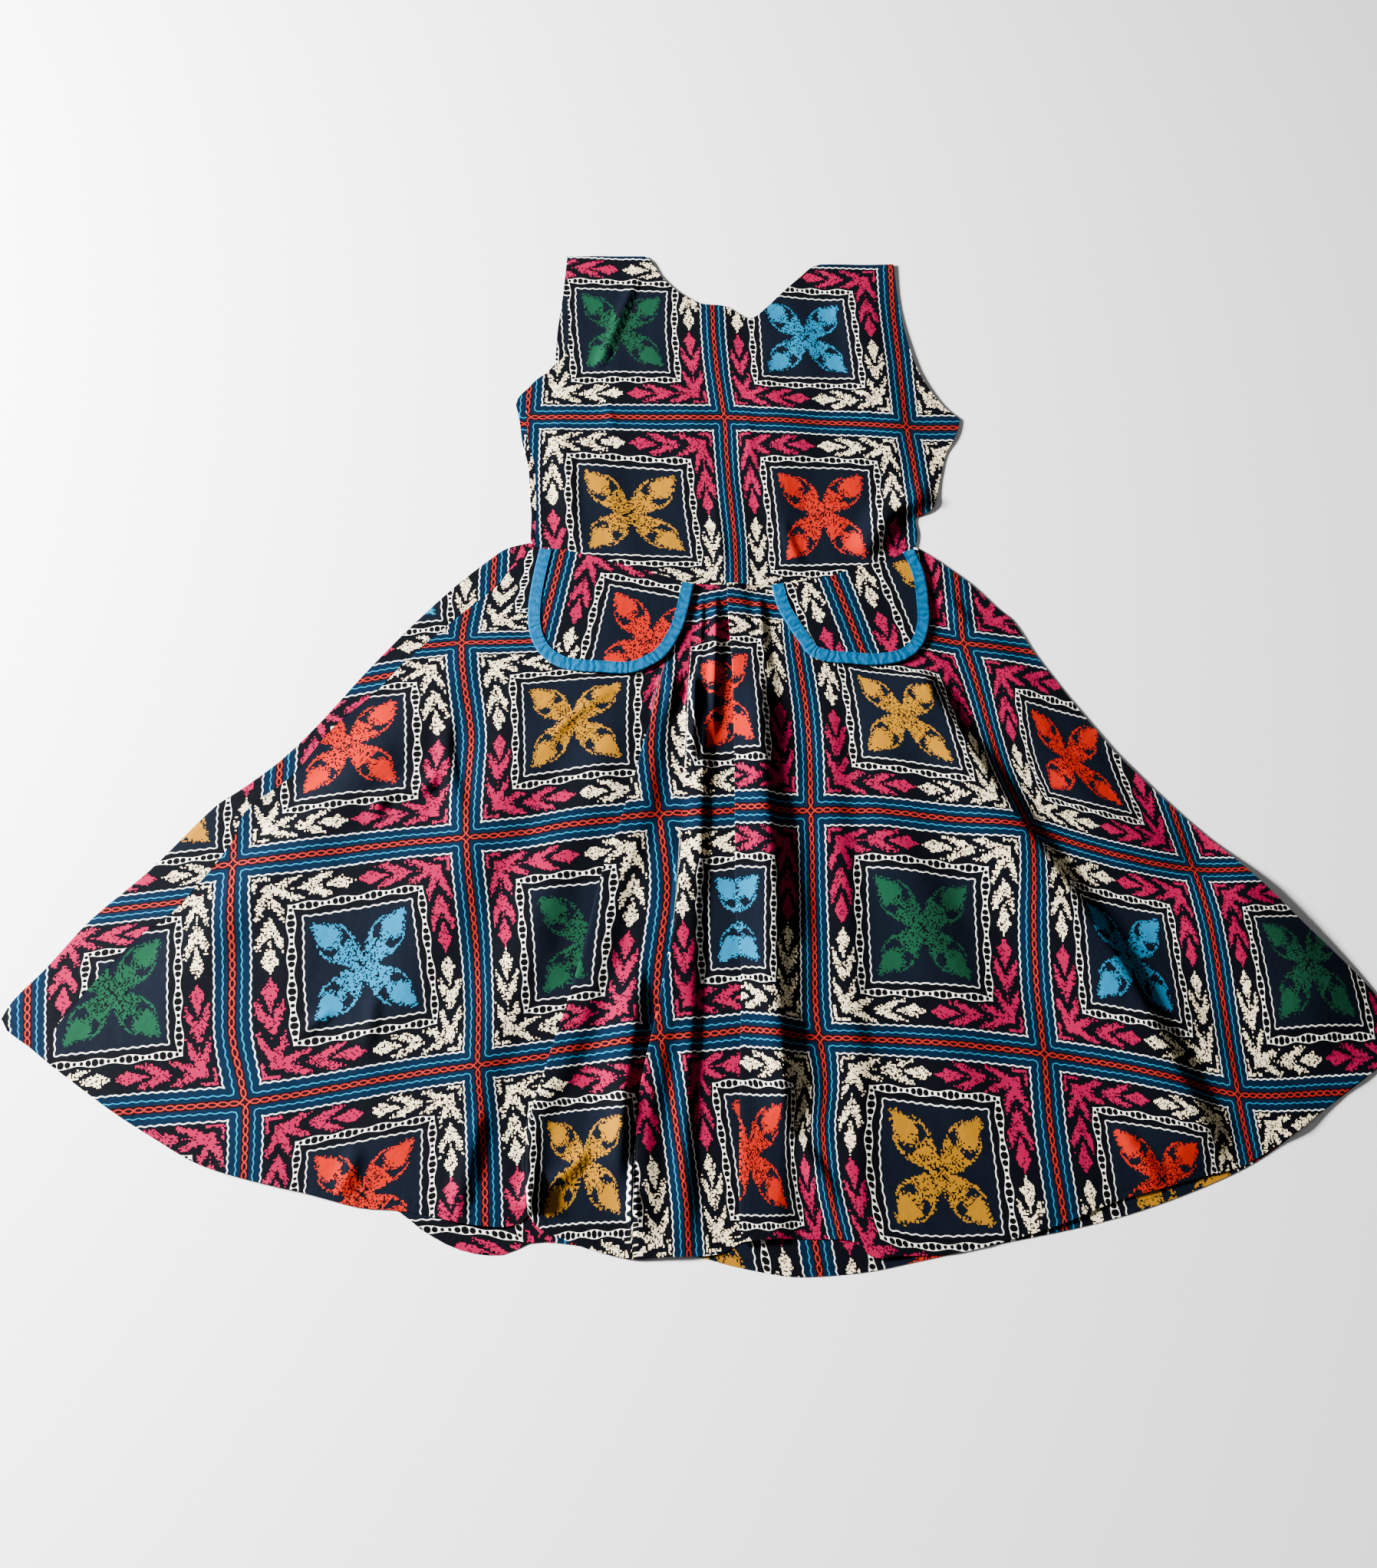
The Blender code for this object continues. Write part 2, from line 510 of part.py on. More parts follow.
def bodice_front_surface():
    """Middle surface of the front bodice."""
    waist = smooth_curve(WAIST) + np.array([0.0, WAIST_GAP])
    left = bodice_side(BODICE_LEFT, [BODICE_LEFT[3][:2], BODICE_LEFT[5][:2]])
    right = bodice_side(BODICE_RIGHT, [BODICE_RIGHT[4][:2], BODICE_RIGHT[6][:2]])
    left[-1], right[-1] = waist[0], waist[-1]
    grid = bodice_grid(left, right, smooth_curve(BODICE_TOP), waist)
    xy = grid.reshape(-1, 2)
    z = FRONT_LEVEL + fold_height(BODICE_FOLDS, xy) * calm([waist, left], xy)
    return np.column_stack([xy, z]), grid_quads(*grid.shape[:2])


def bodice_back_surface():
    """Middle surface of the back bodice, with the strip that shows at the left side."""
    waist = smooth_curve(WAIST_BACK) + np.array([0.0, SEAM_GAP])
    edge = bodice_side(BODICE_LEFT_EDGE, [BODICE_LEFT_EDGE[3][:2], BODICE_LEFT_EDGE[6][:2]])
    seam = bodice_side(BODICE_LEFT, [BODICE_LEFT[3][:2], BODICE_LEFT[5][:2]])
    right = bodice_side(BODICE_RIGHT, [BODICE_RIGHT[4][:2], BODICE_RIGHT[6][:2]], BODICE_INSET)
    first = BODICE_ROWS[0] + BODICE_ROWS[1]
    edge[-1], right[-1] = waist[0] + np.array(WAIST_CORNER), waist[-1]
    seam[-1] += np.array([0.0, 2 * SEAM_GAP])
    inward = seam[first:] - edge[first:]
    inward /= np.linalg.norm(inward, axis=1)[:, None]
    left = edge.copy()
    left[first:] += inward * (WALL / 2 + FOLD_RADIUS)
    grid = bodice_grid(left, right, smooth_curve(BODICE_TOP) + np.array(NECK_INSET), waist)
    return wrapped_back(grid, edge[first:], seam[first:] - inward * SIDE_GAP, first)


def flap_height(xy):
    """Height of a flap's middle surface, clear of the skirt by its own binding."""
    return FRONT_LEVEL + WALL + 2 * SEAM_GAP + BINDING_WALL + fold_height(FLAP_FOLDS, xy)


def inward_of(edge):
    """Unit steps square to a flap's edge, towards its middle."""
    along = np.gradient(edge, axis=0)
    along /= np.linalg.norm(along, axis=1)[:, None]
    return np.column_stack([-along[:, 1], along[:, 0]])


def flap_surface(edge_table):
    """Middle surface of a rounded flap that hangs from the waist seam."""
    waist = smooth_curve(WAIST) - np.array([0.0, FLAP_DROP])
    edge = smooth_curve(edge_table)
    edge += inward_of(edge) * FLAP_INSET
    top = part_of(waist, share_of(waist, edge[0]), share_of(waist, edge[-1]))
    middle = part_of(edge, FLAP_SIDE, 1 - FLAP_SIDE)
    left, right = part_of(edge, 0, FLAP_SIDE), part_of(edge, 1, 1 - FLAP_SIDE)
    top[0], top[-1] = left[0], right[0]
    s, t = np.meshgrid(np.linspace(0, 1, FLAP_COLUMNS + 1), np.linspace(0, 1, FLAP_ROWS + 1))
    grid = coons(top, middle, left, right, s, t)
    xy = grid.reshape(-1, 2)
    z = flap_height(xy)
    return np.column_stack([xy, z]), grid_quads(FLAP_ROWS + 1, FLAP_COLUMNS + 1)


def binding_solid(edge_table):
    """Bias tape folded round a flap's free edge: a C section along the edge."""
    shares = np.linspace(BINDING_START, 1 - BINDING_START, BINDING_STEPS + 1)
    edge = at_share(smooth_curve(edge_table), shares)
    inward = inward_of(edge)
    half = WALL / 2 + SEAM_GAP
    out = half + BINDING_WALL
    section = [(BINDING_WIDTH, out), (-SEAM_GAP - BINDING_WALL, out),
               (-SEAM_GAP - BINDING_WALL, -out), (BINDING_WIDTH, -out),
               (BINDING_WIDTH, -half), (-SEAM_GAP, -half), (-SEAM_GAP, half),
               (BINDING_WIDTH, half)]
    vertices, faces = [], []
    for away, rise in section:
        xy = edge + inward * away
        vertices.append(np.column_stack([xy, flap_height(xy) + rise]))
    ring = len(section)
    vertices = np.stack(vertices, axis=1).reshape(-1, 3)
    for i in range(BINDING_STEPS):
        for k in range(ring):
            a, b = i * ring + k, i * ring + (k + 1) % ring
            faces += [(a, b, b + ring), (a, b + ring, a + ring)]
    caps = [(0, 1, 6), (0, 6, 7), (1, 2, 5), (1, 5, 6), (2, 3, 4), (2, 4, 5)]
    last = BINDING_STEPS * ring
    faces += [(c, b, a) for a, b, c in caps]
    faces += [(a + last, b + last, c + last) for a, b, c in caps]
    return vertices, faces


def build():
    """Make every piece of the dress."""
    for old in list(bpy.data.objects):
        bpy.data.objects.remove(old, do_unlink=True)
    panels = {
        "skirt_back": skirt_back_surface(),
        "bodice_back": bodice_back_surface(),
        "skirt_front": skirt_front_surface(),
        "bodice_front": bodice_front_surface(),
        "flap_left": flap_surface(FLAP_LEFT_EDGE),
        "flap_right": flap_surface(FLAP_RIGHT_EDGE),
    }
    for name, (points, quads) in panels.items():
        vertices, faces = thicken(points, quads, WALL)
        add_object(name, vertices, faces, COTTON_PRINT)
    for name, table in (("flap_binding_left", FLAP_LEFT_EDGE),
                        ("flap_binding_right", FLAP_RIGHT_EDGE)):
        vertices, faces = binding_solid(table)
        add_object(name, vertices, faces, BINDING_BLUE)


build()
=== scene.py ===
"""The looks of a sleeveless wax print dress, laid flat on its back panels.

Tables are in millimetres from the middle of the front waist seam: +X to the right of the dress
as it lies, +Y towards the neck, +Z up. Print places are in tiles of the print's repeat.
"""
import math
from functools import reduce

import bpy
import numpy as np
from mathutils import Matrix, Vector


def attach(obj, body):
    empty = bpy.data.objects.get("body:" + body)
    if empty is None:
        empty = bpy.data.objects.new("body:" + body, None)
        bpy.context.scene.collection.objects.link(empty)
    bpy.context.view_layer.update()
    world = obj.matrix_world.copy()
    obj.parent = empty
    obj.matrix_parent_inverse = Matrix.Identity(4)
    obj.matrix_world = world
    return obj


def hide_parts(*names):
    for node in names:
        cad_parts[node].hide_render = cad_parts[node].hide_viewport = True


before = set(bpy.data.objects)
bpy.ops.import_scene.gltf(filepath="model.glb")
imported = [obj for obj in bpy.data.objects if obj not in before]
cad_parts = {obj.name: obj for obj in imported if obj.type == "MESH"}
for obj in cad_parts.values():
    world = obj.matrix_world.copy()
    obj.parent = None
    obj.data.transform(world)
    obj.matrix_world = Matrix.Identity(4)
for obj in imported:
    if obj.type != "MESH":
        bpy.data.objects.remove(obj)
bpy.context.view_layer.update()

# Driving sizes in millimetres
MM = 0.001
ORIGIN = (-34.0, -152.9, 0.0)
CLOTH = 0.5
TILE = 247.0
SEAM_GAP = 0.3
SIDE_GAP = 0.4
BACK_LEVEL = 0.5
FRONT_LEVEL = 1.85
FOLD_RADIUS = (FRONT_LEVEL - BACK_LEVEL) / 2
PLEAT_LEVEL = 2.4
PLEAT_FADE = 25.0
FLAP_LEVEL = FRONT_LEVEL + 2.6
BINDING_OUT = 1.15
BINDING_WIDTH = 13.0
BINDING_START = 0.004
FLAP_INSET = 0.7
FLAP_DROP = 0.2
FLAP_SIDE = 0.3
EDGE_CALM = 22.0
FLAP_CALM = 14.0
FOLD_LEAD = 0.02
SKIRT_DIP, BODICE_DIP = -0.6, -0.5
SHARP_ANGLE = 0.9
# The skirt's ripples fan out from a point above the waist
FAN_TOP, FAN_RADIUS = 330.0, 620.0
# A pleat's section: lean of its layers, bulge of its turns, start of its middle layer
PLEAT_LEAN, PLEAT_BULGE, PLEAT_STEP, OPEN_PLEAT = 3.0, 1.2, 0.95, 8.0
# Stitches: distance from a hem's edge and from the tape's edge, and length
HEM_STITCH, TAPE_STITCH, STITCH_LENGTH = 8.0, 11.0, 3.2

# Where the back panels' edges lie from the front's, and the shift of the back's print
SKIRT_INSET = (-2.0, -1.5)
BODICE_INSET = (-2.0, -1.0)
NECK_INSET = (0.0, -2.0)
WAIST_CORNER = (-1.0, 1.0)
BACK_SHIFT = (18.0, 9.0)
# How stiffly the print's places are smoothed
FRONT_STIFFNESS, BACK_STIFFNESS = 0.002, 0.01

# Outlines. Columns: x_mm, y_mm, and a 1 where the outline turns a corner
WAIST = [
    (-233, 49), (-184, 41), (-140, 28), (-95, 15), (-45, 1), (0, 0), (45, -1), (114, 10),
    (148, 23), (183, 31), (216, 49)
]
WAIST_BACK = [
    (-238, 56), (-184, 40), (-140, 27), (-45, 1), (45, -1), (114, 9), (183, 30), (214, 47)
]
SIDE_SEAM = [
    (-233, 49), (-258, 26), (-274, 0), (-315, -37), (-375, -95), (-411, -138), (-453, -177),
    (-494, -234), (-543, -277), (-558, -318), (-617, -398), (-641, -415), (-681, -460),
    (-716, -508), (-728, -530), (-722, -557)
]
SKIRT_LEFT_EDGE = [
    (-239, 55), (-267, 47), (-281, 37), (-325, -2), (-375, -55), (-423, -112), (-472, -175),
    (-512, -219), (-552, -252), (-579, -272), (-643, -345), (-701, -401), (-743, -455),
    (-772, -488), (-782, -508)
]
SKIRT_RIGHT_EDGE = [
    (216, 49), (232, 38), (275, 4), (308, -30), (325, -46), (343, -80), (372, -126), (405, -175),
    (432, -212), (490, -276), (554, -339), (612, -404), (669, -466), (714, -525)
]
HEM_FRONT = [
    (-722, -557), (-649, -606), (-603, -633), (-558, -657), (-506, -672), (-444, -686),
    (-388, -700), (-345, -703), (-277, -716), (-239, -719), (-221, -714), (-215, -707, 1),
    (-205, -719), (-178, -731), (-151, -741), (-109, -750), (-75, -748), (-20, -745),
    (1, -734, 1), (21, -731), (75, -731), (116, -733), (132, -748), (160, -747), (214, -745),
    (288, -728), (331, -715), (382, -695), (433, -681), (487, -667, 1), (519, -659), (579, -624),
    (641, -580), (706, -537), (714, -525)
]
HEM_BACK = [
    (-782, -508), (-776, -519), (-749, -537), (-722, -557), (-649, -604), (-558, -654),
    (-443, -684), (-387, -699), (-350, -703), (-323, -722), (-284, -741), (-241, -746),
    (-208, -734), (-151, -739), (-109, -747), (-47, -747), (-11, -756), (43, -766), (71, -767),
    (130, -762), (176, -753), (260, -736), (352, -718), (416, -701), (496, -672), (545, -648),
    (613, -601), (671, -561), (704, -536), (711, -526)
]
BODICE_LEFT = [
    (-205, 459), (-203, 385), (-202, 323), (-217, 296), (-239, 278), (-252, 261, 1), (-250, 241),
    (-246, 190), (-238, 162), (-234, 119), (-233, 83), (-233, 49)
]
BODICE_LEFT_EDGE = [
    (-206, 461), (-210, 400), (-215, 351), (-217, 301, 1), (-230, 285), (-258, 257), (-263, 244),
    (-259, 227), (-253, 188), (-245, 156), (-241, 109), (-239, 93), (-239, 58)
]
BODICE_RIGHT = [
    (208, 447), (210, 414), (216, 358), (229, 298), (243, 266), (261, 239), (279, 222, 1),
    (277, 212), (270, 194), (259, 173), (249, 133), (241, 103), (232, 94), (219, 88), (220, 66),
    (216, 49)
]
BODICE_TOP = [
    (-205, 459), (-155, 460), (-107, 459, 1), (-98, 450), (-87, 430), (-65, 406), (-37, 389),
    (-6, 385), (12, 373), (25, 366, 1), (34, 371), (49, 386), (70, 409), (90, 429), (104, 443),
    (115, 447, 1), (160, 447), (208, 447)
]
FLAP_LEFT_EDGE = [
    (-226, 47), (-233, 8), (-237, -30), (-235, -60), (-225, -84), (-208, -100), (-187, -108),
    (-150, -111), (-119, -112), (-99, -105), (-79, -91), (-62, -63), (-54, -37), (-46, 1)
]
FLAP_RIGHT_EDGE = [
    (46, -1), (53, -30), (64, -52), (77, -74), (90, -91), (110, -98), (134, -100), (157, -102),
    (181, -100), (200, -94), (217, -78), (226, -52), (227, -26), (224, 12), (213, 46)
]

# Edges with a stitched hem
HEMMED = {
    "skirt_front": [HEM_FRONT], "skirt_back": [HEM_BACK],
    "bodice_front": [BODICE_LEFT[:6], BODICE_TOP, BODICE_RIGHT[:7]],
    "bodice_back": [BODICE_LEFT_EDGE[:6], BODICE_TOP, BODICE_RIGHT[:7]],
}

# Knife pleats of the front skirt, from waist to hem. The right side lies over the left.
PLEAT_LINES = {
    "left": [
        (-67, 6), (-69, -36), (-75, -85), (-90, -140), (-98, -184), (-128, -295), (-145, -346),
        (-165, -434), (-182, -497), (-201, -557), (-217, -609), (-220, -659), (-215, -707)
    ],
    "middle": [
        (-45, 1), (-50, -85), (-56, -225), (-61, -315), (-67, -391), (-76, -455), (-88, -518),
        (-97, -559), (-106, -612), (-109, -689), (-109, -750)
    ],
    "centre": [
        (-6, 0), (-5, -27), (0, -113), (1, -270), (1, -392), (6, -451), (4, -541), (2, -644),
        (1, -734)
    ],
}
RIGHT_FOLD = [
    (195, 36), (197, -40), (205, -100), (225, -144), (252, -187), (272, -222), (305, -280),
    (330, -322), (364, -390), (407, -449), (427, -496), (441, -549), (463, -596), (479, -635),
    (487, -667)
]
# Columns: y_mm where a pleat starts, length over which it forms, y_mm where it ends
PLEAT_REACH = {"left": (-98.0, 24.0, -707.0), "middle": (-320.0, 34.0, -752.0),
               "centre": (120.0, 34.0, -900.0)}
END_RAMP = 42.0
# Columns: y_mm, depth_mm
PLEAT_DEPTH = {
    "left": [(-150, 2.5), (-200, 9), (-260, 16), (-450, 18), (-560, 12), (-615, 2.5)],
    "middle": [(-380, 2.5), (-430, 8), (-480, 9), (-570, 8), (-650, 2.5)],
    "centre": [(0, 7), (-50, 13), (-110, 25), (-250, 36), (-480, 40), (-620, 36), (-760, 30)],
}

# Soft folds raised in the cloth. Columns: path, width to its left and right when looking
# from its first point, height, and the share of its length over which each end fades
SKIRT_FOLDS = [
    ([(196, -88), (222, -144), (262, -215), (308, -290), (352, -362), (398, -440), (432, -510),
      (468, -590), (497, -667)], 25, 110, 12.5, 0.1),
    ([(240, -150), (300, -240), (370, -345), (430, -450), (480, -560)], 95, 60, 4.0, 0.15),
    ([(500, -330), (567, -401), (606, -485), (620, -560)], 85, 110, 11.0, 0.3),
    ([(-104, -440), (-110, -517), (-116, -565), (-122, -613), (-126, -659), (-128, -700)],
     14, 40, 7.5, 0.2),
    ([(-205, -664), (-210, -684), (-216, -706)], 6, 20, 10.0, 0.3),
    ([(250, -60), (330, -180), (430, -300), (520, -420), (570, -520)], 60, 60, 4.0, 0.3),
    ([(150, -110), (175, -300), (220, -500), (240, -720)], 70, 60, 3.0, 0.25),
    ([(26, -112), (34, -225), (41, -358), (44, -509), (52, -640)], 11, 36, 8.5, 0.12),
    ([(104, -110), (112, -300), (122, -520), (120, -740)], 26, 34, 3.5, 0.15),
    ([(-34, -130), (-38, -260), (-44, -440), (-54, -600), (-52, -745)], 12, 22, 5.0, 0.12),
    ([(-214, -204), (-183, -166), (-132, -128)], 12, 7, 2.2, 0.3),
    ([(-328, -215), (-343, -250), (-389, -262), (-402, -298)], 7, 18, 4.5, 0.3),
    ([(-150, -636), (-166, -655), (-190, -676), (-216, -704)], 8, 9, 5.5, 0.2),
    ([(-318, -150), (-322, -200), (-312, -250), (-290, -290)], 8, 22, 4.5, 0.3),
    ([(-425, -495), (-470, -532)], 7, 14, 3.5, 0.35),
    ([(-383, -470), (-386, -510), (-392, -550)], 8, 14, 3.0, 0.35),
    ([(-118, -565), (-114, -640), (-104, -722)], 8, 22, 5.0, 0.2),
    ([(58, -625), (80, -660), (104, -700)], 8, 18, 5.0, 0.3),
    ([(-200, -130), (-290, -300), (-370, -480), (-420, -640)], 60, 60, 3.5, 0.3),
    ([(-330, -120), (-450, -260), (-560, -400), (-630, -520)], 50, 50, 3.0, 0.3),
    ([(-130, -130), (-180, -290), (-235, -450), (-275, -600), (-285, -700)], 40, 50, 4.0, 0.2),
    ([(-266, -600), (-274, -650), (-288, -712)], 9, 20, 5.0, 0.2),
    ([(-392, -640), (-398, -665), (-412, -692)], 8, 16, 4.0, 0.2),
    ([(247, -14), (275, -55)], 12, 14, 3.0, 0.3),
    ([(-60, -4), (-64, -55), (-70, -125), (-78, -180)], 6, 10, 4.5, 0.25),
    ([(-37, -5), (-39, -60), (-44, -125), (-48, -240)], 6, 12, 6.0, 0.2),
    ([(-20, -4), (-20, -60), (-22, -120), (-24, -200)], 6, 10, 4.6, 0.25),
    ([(30, -6), (36, -60), (48, -125)], 7, 12, 5.0, 0.3),
    ([(389, -610), (412, -645), (436, -676)], 8, 14, 4.0, 0.3),
]
BODICE_FOLDS = [
    ([(-112, 436), (-131, 383), (-142, 349), (-154, 316), (-165, 285)], 5, 13, 3.4, 0.15),
    ([(246, 114), (223, 108), (193, 94), (170, 62), (150, 26)], 14, 34, 9.0, 0.2),
    ([(150, 430), (170, 330), (190, 220), (180, 120)], 50, 45, 3.0, 0.3),
    ([(-150, 250), (-160, 160), (-150, 70)], 40, 40, 2.0, 0.3),
    ([(20, 246), (22, 200), (24, 130)], 4, 9, 2.0, 0.3),
    ([(-152, 262), (-148, 232), (-142, 205)], 4, 8, 2.4, 0.3),
    ([(165, 266), (168, 215)], 5, 9, 2.4, 0.3),
    ([(30, 340), (60, 200), (50, 60)], 50, 50, 2.2, 0.3),
    ([(-215, 238), (-196, 150), (-190, 60)], 14, 30, 3.0, 0.3),
    ([(-20, 120), (-14, 60), (-10, 14)], 6, 12, 2.4, 0.3),
    ([(60, 90), (70, 50), (84, 22)], 6, 12, 2.4, 0.3),
]
FLAP_FOLDS = [
    ([(-230, -10), (-170, -40), (-110, -60)], 60, 60, 1.2, 0.3),
    ([(90, -50), (150, -30), (215, -40)], 60, 60, 1.2, 0.3),
]
# Where the skirt lies flat under the flaps. Columns: left, right, bottom
FLAP_BOXES = [(-240, -44, -114), (44, 230, -104)]

# Where the print lies. Columns: x_mm, y_mm, column of the print, row of the print. A tile's
# middle is at .5, .5, and the corners of its window at .2585 and .7415
BODICE_PRINT = [
    (-249, 225, 0, 1), (-8, 225, 1, 1), (213, 210, 2, 1), (-22, 385, 1, 0.35), (204, 445, 2, 0.05),
    (223, 103, 2, 1.43), (4, 3, 1, 1.9), (-163, 225, 0.35, 1), (-90, 225, 0.66, 1),
    (277, 210, 2.27, 1), (-138, 350, 0.5, 0.5), (94, 337, 1.5, 0.5), (-122, 94, 0.5, 1.5),
    (108, 94, 1.5, 1.5), (-194, 411, 0.2585, 0.2585), (-79, 406, 0.7415, 0.2585),
    (-183, 288, 0.2585, 0.7415), (-75, 288, 0.7415, 0.7415), (142, 393, 1.7415, 0.2585),
    (152, 279, 1.7415, 0.7415), (40, 282, 1.2585, 0.7415), (47, 154, 1.2585, 1.2585),
    (165, 151, 1.7415, 1.2585), (56, 25, 1.2585, 1.7415), (-185, 159, 0.2585, 1.2585),
    (-60, 151, 0.7415, 1.2585), (-48, 36, 0.7415, 1.7415),
]
# The same for the strips of the front skirt
LEFT_PRINT = [
    (-314, -74, 2, 1), (-552, -338, 1, 2), (-514, -595, 1, 3), (-435, -200, 1.5, 1.5),
    (-667, -480, 0.5, 2.5), (-401, -451, 1.5, 2.5), (-387, -687, 1.5, 3.5), (-297, -309, 2, 2),
    (-297, -190, 2, 1.5), (-286, -392, 2, 2.33), (-277, -469, 2, 2.64), (-273, -557, 2, 3),
    (-266, -613, 2, 3.26), (-260, -683, 2, 3.59), (-247, -304, 2.2, 2), (-186, -294, 2.45, 2),
    (-183, -170, 2.5, 1.5), (-158, -423, 2.5, 2.5), (-470, -397, 1.2585, 2.2585),
    (-353, -378, 1.7415, 2.2585), (-331, -501, 1.7415, 2.7415), (-455, -521, 1.2585, 2.7415),
    (-369, -251, 1.7415, 1.7415), (-376, -137, 1.7415, 1.2585), (-490, -265, 1.2585, 1.7415),
    (-549, -390, 1, 2.2), (-541, -455, 1, 2.46), (-534, -530, 1, 2.75), (-262, 30, 2.13, 0.42),
]
INNER_PRINT = [
    (-84, -281, 3, 2), (-126, -286, 2.83, 2), (-80, -315, 3, 2.13), (-75, -367, 3, 2.33),
    (-94, -204, 3, 1.7), (-86, -121, 3, 1.36), (-194, -542, 2.52, 3), (-130, -533, 2.8, 3),
    (-115, -600, 2.7415, 3.2585), (-115, -714, 2.7415, 3.7415), (-206, -609, 2.2585, 3.2585),
    (-161, -655, 2.5, 3.5), (-81, -528, 3, 3),
]
MIDDLE_PRINT = [
    (-81, -528, 3, 3), (-71, -576, 3, 3.2), (-62, -637, 3, 3.46), (-54, -697, 3, 3.72),
    (-52, -733, 3, 3.87), (-33, -524, 3.2, 3), (-29, -346, 3.2585, 2.2585),
    (-27, -455, 3.2585, 2.7415), (-14, -587, 3.2585, 3.2585), (-51, -32, 3.14, 1),
    (-13, -24, 3.3, 1), (-84, -281, 3, 2), (-40, -135, 3.3, 1.44), (-20, -278, 3.27, 2),
]
RIGHT_PRINT = [
    (42, -28, 3.86, 1), (84, -277, 4, 2), (84, -367, 4, 2.34), (84, -444, 4, 2.65),
    (87, -528, 4, 3), (87, -613, 4, 3.36), (92, -683, 4, 3.66), (101, -724, 4, 3.84),
    (32, -345, 3.7415, 2.2585), (30, -455, 3.7415, 2.7415), (65, -526, 3.91, 3),
    (51, -589, 3.7415, 3.2585), (56, -707, 3.7415, 3.7415), (266, -75, 5, 1), (323, -298, 5, 2),
    (323, -545, 5, 3), (74, -87, 4, 1.25), (331, -715, 5, 3.68), (192, -167, 4.5, 1.5),
    (202, -410, 4.5, 2.5), (208, -667, 4.5, 3.5), (375, -219, 5.5, 1.5), (501, -345, 6, 2),
    (421, -443, 5.5, 2.5), (522, -587, 6, 3), (610, -451, 6.5, 2.5), (434, -672, 5.5, 3.5),
    (343, -85, 5.3, 1), (144, -342, 4.2585, 2.2585), (261, -356, 4.7415, 2.2585),
    (259, -475, 4.7415, 2.7415), (133, -106, 4.2585, 1.2585), (144, -214, 4.2585, 1.7415),
    (252, -233, 4.7415, 1.7415), (151, -591, 4.2585, 3.2585), (260, -602, 4.7415, 3.2585),
    (268, -726, 4.7415, 3.7415), (153, -722, 4.2585, 3.7415),
]
BACK_PRINT = [
    (-292, 28, 1.95, 0.45), (-293, -15, 1.95, 0.63), (-692, -391, 0.25, 2), (-616, -382, 0.55, 2),
    (-444, -125, 1.26, 1), (-386, -113, 1.5, 1), (-758, -476, 0, 2.35), (-750, -533, 0, 2.6),
    (-510, -250, 1, 1.47), (78, -745, 3, 3.5), (330, -715, 4, 3.45), (-270, -730, 1.6, 3.82),
]
# Flaps: the place of a point of the print and the print's turn, in degrees
FLAP_PRINT = {"flap_left": (-97, -72, 1.5, 1.5, -11.3), "flap_right": (135, -44, 2.0, 1.5, 18.0)}

# Dyes, as the share of red, green and blue light that they send back. The tape's darker blue serves
# as painted shade on the tape, and also as its random tone and its stitches
INKS = {
    "crimson": (0.24, 0.0005, 0.034), "cream": (0.8, 0.68, 0.42), "white": (0.93, 0.88, 0.76),
    "cyan": (0.0001, 0.122, 0.235), "orange": (0.33, 0.005, 0.001),
    "mustard": (0.265, 0.112, 0.002), "green": (0.0038, 0.038, 0.0175),
    "chain": (0.3, 0.009, 0.006), "sky": (0.0003, 0.15, 0.27), "teal": (0.0002, 0.0062, 0.0185),
    "navy": (0.0022, 0.004, 0.0088), "deep_navy": (0.0009, 0.0013, 0.0027),
    "black": (0.0009, 0.001, 0.0016), "wine": (0.006, 0.0006, 0.002),
    "tape": (0.0001, 0.084, 0.195), "tape_tone_and_shade": (0.0001, 0.036, 0.1),
}

# Grid counts
SKIRT_ROWS = 148
ROW_CROWDING = 1.15
# Columns of each strip of the skirt and how much they crowd towards its left side
STRIP_COLUMNS = {"left": (80, 0.85), "inner": (22, 1.0), "middle": (24, 1.0), "right": (74, 1.15),
                 "far": (38, 1.1)}
SECTION_RUN = 4
SECTION_TURN = 6
BACK_ROWS = 90
BACK_COLUMNS = 110
BODICE_ROWS = (38, 12, 46)
BODICE_COLUMNS = (22, 30, 30, 22)
FLAP_ROWS = 44
FLAP_COLUMNS = 60
BINDING_STEPS = 150


def rounded(table, steps=10):
    """A curve through a table's points, rounded by Catmull-Rom between its corners."""
    points = np.array([row[:2] for row in table], float)
    corner = [len(row) == 3 for row in table]
    out = [points[0]]
    for i in range(len(points) - 1):
        p1, p2 = points[i], points[i + 1]
        p0 = points[i - 1] if i > 0 and not corner[i] else 2 * p1 - p2
        p3 = points[i + 2] if i + 2 < len(points) and not corner[i + 1] else 2 * p2 - p1
        size = np.linalg.norm(p2 - p1)
        m1 = (p2 - p0) / max(np.linalg.norm(p2 - p0), 1e-6) * size
        m2 = (p3 - p1) / max(np.linalg.norm(p3 - p1), 1e-6) * size
        for k in range(1, steps + 1):
            u = k / steps
            out.append((2 * u**3 - 3 * u**2 + 1) * p1 + (u**3 - 2 * u**2 + u) * m1
                       + (3 * u**2 - 2 * u**3) * p2 + (u**3 - u**2) * m2)
    return np.array(out)


def lengths(points):
    """Distance along a curve at each of its points."""
    steps = np.linalg.norm(np.diff(points, axis=0), axis=1)
    return np.concatenate([[0.0], np.cumsum(steps)])


def at_share(points, shares):
    """Points at the given shares of a curve's length."""
    run = lengths(points)
    shares = np.clip(shares, 0, 1) * run[-1]
    return np.stack([np.interp(shares, run, points[:, axis]) for axis in (0, 1)], -1)


